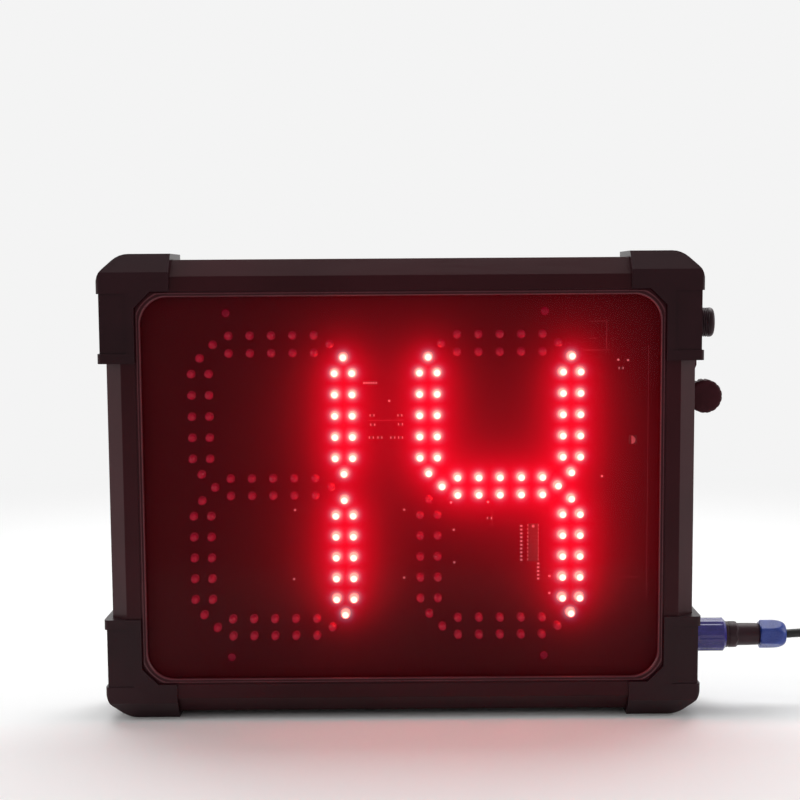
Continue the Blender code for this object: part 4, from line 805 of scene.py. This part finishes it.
def socketForm():
    # measured from the tail of the shank; both threads are cut on the same blank
    shank, barrel, bore, lip = side["shank"], side["barrel"], side["bore"], side["lip"]
    foot, mouth = side["foot"] - side["tail"], side["mouth"] - side["tail"]
    threadFrom, threadTo = foot + 2.4, mouth - lip - 1.0
    shankThread = threadShape(0.4, foot - 1.2, shank, 0.45, 1.0)
    barrelThread = threadShape(threadFrom, threadTo, barrel, side["threadDepth"], side["pitch"])
    profile = [(0, 0), (0, shank - 0.5)] + [(a, shank) for a in steps(0.4, foot - 0.2, 96)]
    profile += [(foot, shank), (foot, barrel - 0.3), (foot + 0.3, barrel)]
    profile += [(a, barrel) for a in steps(threadFrom, threadTo, 54)]
    profile += [(mouth - lip * (1 - math.sin(t * math.pi / 16)), barrel - lip * (1 - math.cos(t * math.pi / 16)))
                for t in range(9)]
    profile += [(mouth, bore + 0.4), (mouth - 0.4, bore), (mouth - side["boreDepth"], bore),
                (mouth - side["boreDepth"], 0)]
    return spin(profile, 40, lambda along, radius, turn: barrelThread(*shankThread(along, radius, turn), turn))


def socketAt(name, node, z, isOpen):
    # an open socket also shows its three pins and the key of its bore
    bm = placed(socketForm(), (1, 0, 0), onAxis(side["tail"], z))
    floorAt = side["mouth"] - side["boreDepth"]
    if isOpen:
        for k in range(3):
            a = math.radians(90 + 120 * k)
            spot = onAxis(floorAt - 0.05, z) + Vector((0, math.cos(a), math.sin(a))) * side["pinCircle"] * mm
            join(bm, placed(spin(side["pin"], 14), (1, 0, 0), spot), 1)
        put(bm, side["key"], onAxis(floorAt + side["key"][0] / 2, z + side["bore"] - 0.4), 0.1)
    piece(name, bm, [filledNylon, turnedBrass], stands=[node], angle=35)


socketAt("spareSocket", "spare_socket", side["spareZ"], True)
socketAt("powerSocket", "power_socket", side["leadZ"], False)
for name in ("power_socket_nut", "spare_socket_nut"):
    dress(name, filledNylon, 0.3)

# dust cap: sixteen grooves for the fingers outside, its thread inside
cap = {"radius": 11.3, "flutes": 16, "fluteDepth": 0.75, "length": 12, "bore": 10.0, "threadDepth": 0.35,
       "pitch": 1.5}
capInside = threadShape(0.5, 9, cap["bore"], cap["threadDepth"], cap["pitch"])


def capShape(along, radius, turn):
    if radius > cap["bore"] + 0.45:
        groove = max(0.0, math.cos(cap["flutes"] * turn) - 0.15) / 0.85
        radius -= cap["fluteDepth"] * groove ** 0.8 * (1 if along < cap["length"] - 1.6 else 0.35)
    return capInside(along, radius, turn)


capLine = [(cap["length"] - 2, 0), (cap["length"] - 2, cap["bore"] - 0.2)]
capLine += [(a, cap["bore"]) for a in steps(9.2, 0.3, 36)]
capLine += [(0, cap["bore"] + 0.3), (0, cap["radius"] - 0.3)] + [(a, cap["radius"]) for a in (0.35, 3, 6, 9)]
capLine += [(cap["length"] - back, cap["radius"] - inward) for back, inward in
            ((1.5, 0), (0.9, 0.35), (0.35, 1.0), (0.1, 1.9), (0, 3.2))] + [(cap["length"], 3.0), (cap["length"], 0)]
low, high, capPlace = span("dust_cap")
capPlace.y = high.y
capForm = placed(spin(capLine, 128, capShape), (0, -1, 0), capPlace)
piece("dustCap", capForm, softPvc, body="cap", stands=["dust_cap"], angle=38)


def sweep(path, section, upAxis, closed=False):
    # a section of (side, up) points carried along a path of places, with flat ends
    bm = bmesh.new()
    rings = []
    for k, point in enumerate(path):
        before = path[k - 1] if k or closed else path[0]
        after = path[(k + 1) % len(path)] if k < len(path) - 1 or closed else path[-1]
        ahead = (Vector(after) - Vector(before)).normalized()
        sideways = Vector(upAxis).cross(ahead).normalized()
        over = ahead.cross(sideways)
        rings.append([bm.verts.new(Vector(point) + (sideways * s + over * u) * mm) for s, u in section])
    skin(bm, rings, closed)
    if not closed:
        bm.faces.new(reversed(rings[0]))
        bm.faces.new(rings[-1])
    return bm


def roundSection(halfSide, halfUp, corner, perCorner=3):
    # a rectangle with round corners, as (side, up) points
    points = []
    for sx, su, start in ((1, 1, 0), (-1, 1, 90), (-1, -1, 180), (1, -1, 270)):
        for k in range(perCorner + 1):
            a = math.radians(start + 90 * k / perCorner)
            points.append((sx * (halfSide - corner) + corner * math.cos(a),
                           su * (halfUp - corner) + corner * math.sin(a)))
    return points


# strap of the cap: a thin ring on the socket's foot and a limp strip with a raised rib, whose path is
# (right of the ring's middle, above the socket's axis)
strap = {"from": 185.7, "thick": 1.3, "width": 4, "ringIn": 10.0, "ringOut": 12.3,
         "path": [(0, -11.2), (0, -20), (0, -28.5), (-0.6, -30), (-2, -31.2), (-3.4, -32.4), (-4, -34),
                  (-4, -37.2), (-4, -41)]}
ringProfile = [(0, strap["ringIn"]), (0, strap["ringOut"] - 0.3), (0.3, strap["ringOut"]), (1.0, strap["ringOut"]),
               (1.3, strap["ringOut"] - 0.3), (1.3, strap["ringIn"]), (0, strap["ringIn"])]
strapForm = placed(spin(ringProfile, 56), (1, 0, 0), onAxis(strap["from"], side["spareZ"]))
strapLine = [onAxis(strap["from"] + strap["thick"] / 2 + x, side["spareZ"] + z) for x, z in strap["path"]]
join(strapForm, sweep(strapLine, roundSection(strap["thick"] / 2, strap["width"] / 2, 0.4), (0, 1, 0)))
ribLine = [spot + Vector((strap["thick"] / 2 - 0.05, 0, 0)) * mm for spot in strapLine[1:3]]
join(strapForm, sweep(ribLine, roundSection(0.25, 0.5, 0.2), (0, 1, 0)))
piece("capStrap", strapForm, softPvc, body="cap", stands=["cap_strap"], angle=40)

# coupling ring: 14 grooves for the fingers, plain chamfered ends
ring = {"start": 187, "radius": 11.4, "length": 21.6, "flutes": 14, "fluteDepth": 0.45, "lip": 9.0, "endSlope": 1.9}


def ringShape(along, radius, turn):
    if radius > ring["radius"] - 0.2:
        ends = min(1, max(0, (along - 2.6) / 1.2), max(0, (ring["length"] - 2.2 - along) / 1.2))
        radius -= ring["fluteDepth"] * ends * max(0, math.cos(ring["flutes"] * turn)) ** 1.4
    return along, radius


outer, end, bore, lip = ring["radius"], ring["length"], side["barrel"] + 0.1, ring["lip"]
ringLine = [(0.6, bore), (0, bore + 0.4), (0, outer - 0.9), (0.9, outer)]
ringLine += [(a, outer) for a in steps(2.2, end - 2.0, 16)]
ringLine += [(end - 1.7, outer), (end, outer - ring["endSlope"]), (end, lip + 0.3), (end - 0.3, lip),
             (end - 2.9, lip), (end - 2.9, bore), (0.6, bore)]
ringForm = placed(spin(ringLine, 112, ringShape), (1, 0, 0), onAxis(ring["start"], side["leadZ"]))
piece("couplingRing", ringForm, ringNylon, body="ring", stands=["coupling_ring"], angle=35)

# plug body: moulded front half with shallow ribs, a wavy parting line, then a tapered rear half;
# its line is (right of the case's zero, radius)
plug = {"waveFrom": 214.5, "waveTo": 219.0, "wave": 0.45, "line": [
    (190.6, 0), (190.6, 6.5), (191.1, 6.9), (197.8, 6.9), (197.9, 9.5), (198.3, 9.75), (204.8, 9.75), (205.1, 9.4),
    (205.1, 8.9), (210.0, 8.9), (210.3, 8.65), (210.9, 8.65), (211.2, 8.9), (214.6, 8.9), (215.8, 8.75),
    (216.4, 8.15), (216.8, 7.75), (217.5, 7.6), (220.0, 7.6), (225.0, 7.54), (230.0, 7.45), (231.2, 7.35),
    (231.7, 7.0), (231.7, 6.2), (232.5, 6.2), (242.0, 6.2), (242.8, 5.9), (242.8, 0)]}


def plugShape(along, radius, turn):
    if plug["waveFrom"] < along < plug["waveTo"] and radius > 7:
        along += plug["wave"] * math.sin(6 * turn)
    return along, radius


plugForm = placed(spin(plug["line"], 72, plugShape), (1, 0, 0), onAxis(0, side["leadZ"]))
piece("plugBody", plugForm, filledNylon, stands=["plug_body"], angle=35)

# gland nut: hexagon with a flat to the front, which runs out into a dome round the cord
gland = {"start": 232.1, "length": 18, "halfFlats": 8.6, "hexLength": 9.5, "mouth": 3.1, "domeEnd": 5.8}


def hexShape(along, radius, turn):
    if radius > 7:
        flat = gland["halfFlats"] / math.cos((turn - math.pi / 6) % (math.pi / 3) - math.pi / 6)
        radius = min(radius, flat)
    return along, radius


tip, domeEnd, mouth = gland["length"], gland["domeEnd"], gland["mouth"]
glandCorner = gland["halfFlats"] / math.cos(math.pi / 6) * 0.985
glandLine = [(0.5, 6.5), (0, 6.8), (0, gland["halfFlats"] * 0.97), (0.7, glandCorner)]
glandLine += [(a, glandCorner) for a in steps(1.2, gland["hexLength"] * 0.72, 5)]
domeFrom = gland["hexLength"] * 0.75
glandLine += [(domeFrom + (tip - domeFrom) * math.sin(t * math.pi / 32),
               domeEnd + (glandCorner - domeEnd) * math.cos(t * math.pi / 32)) for t in range(1, 16)]
glandLine += [(tip, domeEnd), (tip, mouth + 1.1), (tip - 0.5, mouth + 0.4), (tip - 3, mouth), (tip - 7, mouth),
              (tip - 7, 6.5), (0.5, 6.5)]
glandForm = placed(spin(glandLine, 96, hexShape), (1, 0, 0), onAxis(gland["start"], side["leadZ"]))
piece("glandNut", glandForm, nutNylon, stands=["gland_nut"], angle=30)
print("side pieces made")

# power lead, in metres: out of the gland nut, down to the floor, coiled in two layers, and a low voltage plug
# at its end
lead = {"radius": 3 * mm, "start": (0.2431, 0.010, 0.0475), "exit": (0.2501, 0.010, 0.0475),
        "coilCentre": (0.3665, 0.0133), "outerTurn": 0.0442, "innerTurn": 0.024,
        "coilFrom": -140, "turns": 6 + 230 / 360, "pointsPerTurn": 36, "lowLayer": 0.0042, "highLayer": 0.0104,
        "hang": [(0.2500, 0.0100, 0.0475), (0.2567, 0.0100, 0.0479), (0.2636, 0.0100, 0.0482),
                 (0.2703, 0.0100, 0.0480), (0.2770, 0.0100, 0.0467), (0.2834, 0.0100, 0.0442),
                 (0.2893, 0.0100, 0.0405), (0.2945, 0.0100, 0.0360), (0.2987, 0.0096, 0.0308),
                 (0.3021, 0.0089, 0.0247), (0.3056, 0.0079, 0.0189), (0.3098, 0.0063, 0.0141),
                 (0.3145, 0.0037, 0.0100), (0.3195, -0.0001, 0.0069), (0.3239, -0.0047, 0.0050),
                 (0.3282, -0.0098, 0.0042)],
        "tail": [(0.3607, 0.0575, 0.0103), (0.3549, 0.0575, 0.0096), (0.3492, 0.0575, 0.0083),
                 (0.3437, 0.0575, 0.0070), (0.3379, 0.0575, 0.0060), (0.3328, 0.0575, 0.0058)]}


def coilPoints():
    # inwards on the floor, a smooth rise at the inner turn, and outwards on top
    points = []
    total = round(lead["turns"] * lead["pointsPerTurn"])
    inner = lead["turns"] / 2
    for k in range(total + 1):
        turns = lead["turns"] * k / total
        radius = lead["innerTurn"] + (lead["outerTurn"] - lead["innerTurn"]) * abs(turns - inner) / inner
        height = lead["lowLayer"] + (lead["highLayer"] - lead["lowLayer"]) * smoothStep((turns - inner + 0.4) / 0.8)
        angle = math.radians(lead["coilFrom"]) + 2 * math.pi * turns
        points.append((lead["coilCentre"][0] + radius * math.cos(angle),
                       lead["coilCentre"][1] + radius * math.sin(angle), height))
    return points


def smoothed(points, every):
    # a Catmull-Rom line through the points, so that no bend has a corner
    spots = [Vector(p) for p in points]
    spots = [2 * spots[0] - spots[1]] + spots + [2 * spots[-1] - spots[-2]]
    line = []
    for a, b, c, d in zip(spots, spots[1:], spots[2:], spots[3:]):
        count = max(1, round((c - b).length / every))
        for k in range(count):
            t = k / count
            line.append(0.5 * ((2 * b) + (c - a) * t + (2 * a - 5 * b + 4 * c - d) * t ** 2
                               + (3 * b - a - 3 * c + d) * t ** 3))
    return line + [spots[-2]]


leadLine = smoothed([lead["start"], *lead["hang"], *coilPoints(), *lead["tail"]], 2.5 * mm)
leadCurve = bpy.data.curves.new("powerLead", "CURVE")
leadCurve.dimensions = "3D"
leadCurve.bevel_depth, leadCurve.bevel_resolution, leadCurve.use_fill_caps = lead["radius"], 4, True
spline = leadCurve.splines.new("POLY")
spline.points.add(len(leadLine) - 1)
for point, place in zip(spline.points, leadLine):
    point.co = (*place, 1)
spline.use_smooth = True
powerLead = bpy.data.objects.new("powerLead", leadCurve)
bpy.context.scene.collection.objects.link(powerLead)
leadCurve.materials.append(pvcSheath)
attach(powerLead, "case")
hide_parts("power_cord", "cord_coil", "cord_tail")

# hook and loop tie round one side of the coil, its free end lapped over
tie = {"thick": 0.8, "width": 10, "corner": 3.2, "lap": 12}
low, high, tieMiddle = span("cord_tie")
halfX, halfZ = ((length / mm - tie["thick"]) / 2 for length in (high.x - low.x, high.z - low.z))
tieLoop = [tieMiddle + Vector((x, 0, z)) * mm for x, z in roundSection(halfX, halfZ, tie["corner"], 6)]
tieForm = sweep(tieLoop, roundSection(tie["thick"] / 2, tie["width"] / 2, 0.3), (0, 1, 0), closed=True)
lapPath = [(tieMiddle.x + x * mm, tieMiddle.y + 0.4 * mm, high.z + (-0.25 if x < tie["lap"] / 2 else -0.05) * mm)
           for x in steps(-tie["lap"] / 2, tie["lap"] / 2, 6)]
join(tieForm, sweep(lapPath, roundSection(tie["width"] / 2 - 0.5, 0.45, 0.3), (0, 0, 1)))
cordTie = piece("cordTie", tieForm, tapeCloth, stands=["cord_tie"], angle=40)

# low voltage plug: ribbed strain relief, gripped handle and a nickel barrel
dcPlug = {"start": (0.3325, 0.0575, 0.0058), "heading": (-1, 0, 0), "handle": 34, "radius": 5.5, "relief": 14.28,
          "barrel": 9.5, "barrelRadius": 2.75, "ribs": 6, "grips": 5, "gripDepth": 0.35}
handle, radius, relief, barrel = dcPlug["handle"], dcPlug["radius"], dcPlug["relief"], dcPlug["barrelRadius"]
dcLine = [(0, 0), (0, 3.02), (0.2, 3.7)]
pitch = (relief - 1.6) / dcPlug["ribs"]
for k in range(dcPlug["ribs"]):
    at, crest = 0.8 + pitch * k, 3.8 + 0.9 * k / dcPlug["ribs"]
    dcLine += [(at, crest), (at + pitch * 0.55, crest + 0.08), (at + pitch * 0.62, crest - 0.55),
               (at + pitch * 0.93, crest - 0.5)]
dcLine += [(relief, radius - 0.5), (relief + 1.2, radius)]
for k in range(dcPlug["grips"]):
    at = relief + 4 + k * 1.9
    dcLine += [(at, radius), (at + 0.3, radius - dcPlug["gripDepth"]), (at + 0.9, radius - dcPlug["gripDepth"]),
               (at + 1.2, radius)]
dcLine += [(handle - 1.0, radius), (handle - 0.2, radius - 0.5), (handle, radius - 1.1), (handle, barrel),
           (handle, 0)]
tip = handle + dcPlug["barrel"]
barrelLine = [(handle - 0.1, 0), (handle - 0.1, barrel), (tip - 0.4, barrel), (tip, barrel - 0.35), (tip, 1.3),
              (tip - 7, 1.2), (tip - 7, 0)]
dcForm = spin(dcLine, 40)
join(dcForm, spin(barrelLine, 32), 1)
dcPiece = piece("lowVoltagePlug", placed(dcForm, dcPlug["heading"], dcPlug["start"]), [pvcMoulding, nickelPlate],
                stands=["dc_plug"], angle=32)


# studio
camera = {"place": (-0.0126, -1.120, 0.290), "pitchDown": 6.42, "roll": -0.39, "lens": 75.57, "shift": 0.0861}
view = bpy.data.cameras.new("camera")
view.lens, view.sensor_width, view.shift_y = camera["lens"], 36, camera["shift"]
view.clip_start, view.clip_end = 0.05, 60
eye = bpy.data.objects.new("camera", view)
eye.matrix_world = (Matrix.Translation(camera["place"])
                    @ Matrix.Rotation(math.radians(90 - camera["pitchDown"]), 4, "X")
                    @ Matrix.Rotation(math.radians(camera["roll"]), 4, "Z"))
bpy.context.scene.collection.objects.link(eye)
bpy.context.scene.camera = eye

studio = {"sweep": "#f4f4f4", "world": "#ffffff", "worldStrength": 0.36, "wallRadius": 5.0, "wallHeight": 7.0,
          "plainFrom": 0.45, "plainTo": 1.5, "frontEdge": -0.62, "wallFrom": -0.9}


def studioPaint(name, colour):
    # matt paint that takes light and shadow round the object; further out it shows its own even colour
    material, tree, shader, place = blankMaterial(name, {"Base Color": paint(colour), "Roughness": 0.8})
    path = addNode(tree, "LightPath")
    first = addNode(tree, "Math", links={0: path.outputs["Is Camera Ray"], 1: path.outputs["Is Glossy Ray"]},
                    operation="MAXIMUM")
    either = addNode(tree, "Math", links={0: first.outputs[0], 1: path.outputs["Is Transmission Ray"]},
                     operation="MAXIMUM")
    distance = addNode(tree, "VectorMath", links={0: place}, operation="LENGTH")
    share = addNode(tree, "MapRange", {"From Min": studio["plainFrom"], "From Max": studio["plainTo"]},
                    {"Value": distance.outputs["Value"]}, interpolation_type="SMOOTHSTEP")
    shown = addNode(tree, "Math", links={0: either.outputs[0], 1: share.outputs["Result"]}, operation="MULTIPLY")
    bright = addNode(tree, "Emission", {"Color": paint(colour), "Strength": 1.0})
    mix = addNode(tree, "MixShader", links={0: shown.outputs[0], 1: shader.outputs[0], 2: bright.outputs[0]})
    output = next(n for n in tree.nodes if n.type == "OUTPUT_MATERIAL")
    feed(tree, output, {"Surface": mix.outputs[0]})
    return material


def stagePiece(name, bm):
    stage = piece(name, bm, sweepPaint)
    stage.parent = None


sweepPaint = studioPaint("paintedSweep", studio["sweep"])
floorMesh = bmesh.new()
bmesh.ops.create_circle(floorMesh, cap_ends=True, segments=64, radius=studio["wallRadius"] + 0.2)
cutAway(floorMesh, (0, studio["frontEdge"], 0), (0, -1, 0))
stagePiece("floor", floorMesh)
wallMesh = bmesh.new()
bmesh.ops.create_circle(wallMesh, segments=64, radius=studio["wallRadius"])
inFront = [e for e in wallMesh.edges if any(v.co.y <= studio["wallFrom"] for v in e.verts)]
bmesh.ops.delete(wallMesh, geom=inFront, context="EDGES")
raised = bmesh.ops.extrude_edge_only(wallMesh, edges=list(wallMesh.edges))["geom"]
bmesh.ops.translate(wallMesh, vec=(0, 0, studio["wallHeight"]),
                    verts=[v for v in raised if isinstance(v, bmesh.types.BMVert)])
stagePiece("backdrop", wallMesh)

world = bpy.data.worlds.new("studioWorld")
world.use_nodes = True
world.node_tree.nodes["Background"].inputs["Color"].default_value = paint(studio["world"])
world.node_tree.nodes["Background"].inputs["Strength"].default_value = studio["worldStrength"]
bpy.context.scene.world = world

softboxes = {
    "top": {"place": (0.0, 0.85, 1.6), "size": (2.0, 1.2), "power": 30},
    "left": {"place": (-1.6, -0.4, 0.8), "size": (0.8, 1.0), "power": 8},
    "right": {"place": (1.7, -0.3, 0.8), "size": (0.8, 1.0), "power": 8},
}
for name, box in softboxes.items():
    light = bpy.data.lights.new(name + "Softbox", "AREA")
    light.shape, light.size, light.size_y, light.energy = "RECTANGLE", *box["size"], box["power"]
    lamp = bpy.data.objects.new(name + "Softbox", light)
    aim = Vector((0, 0, 0.15)) - Vector(box["place"])
    lamp.matrix_world = Matrix.Translation(box["place"]) @ aim.to_track_quat("-Z", "Y").to_matrix().to_4x4()
    bpy.context.scene.collection.objects.link(lamp)

bpy.context.scene.view_settings.view_transform = "Standard"
print("studio set")
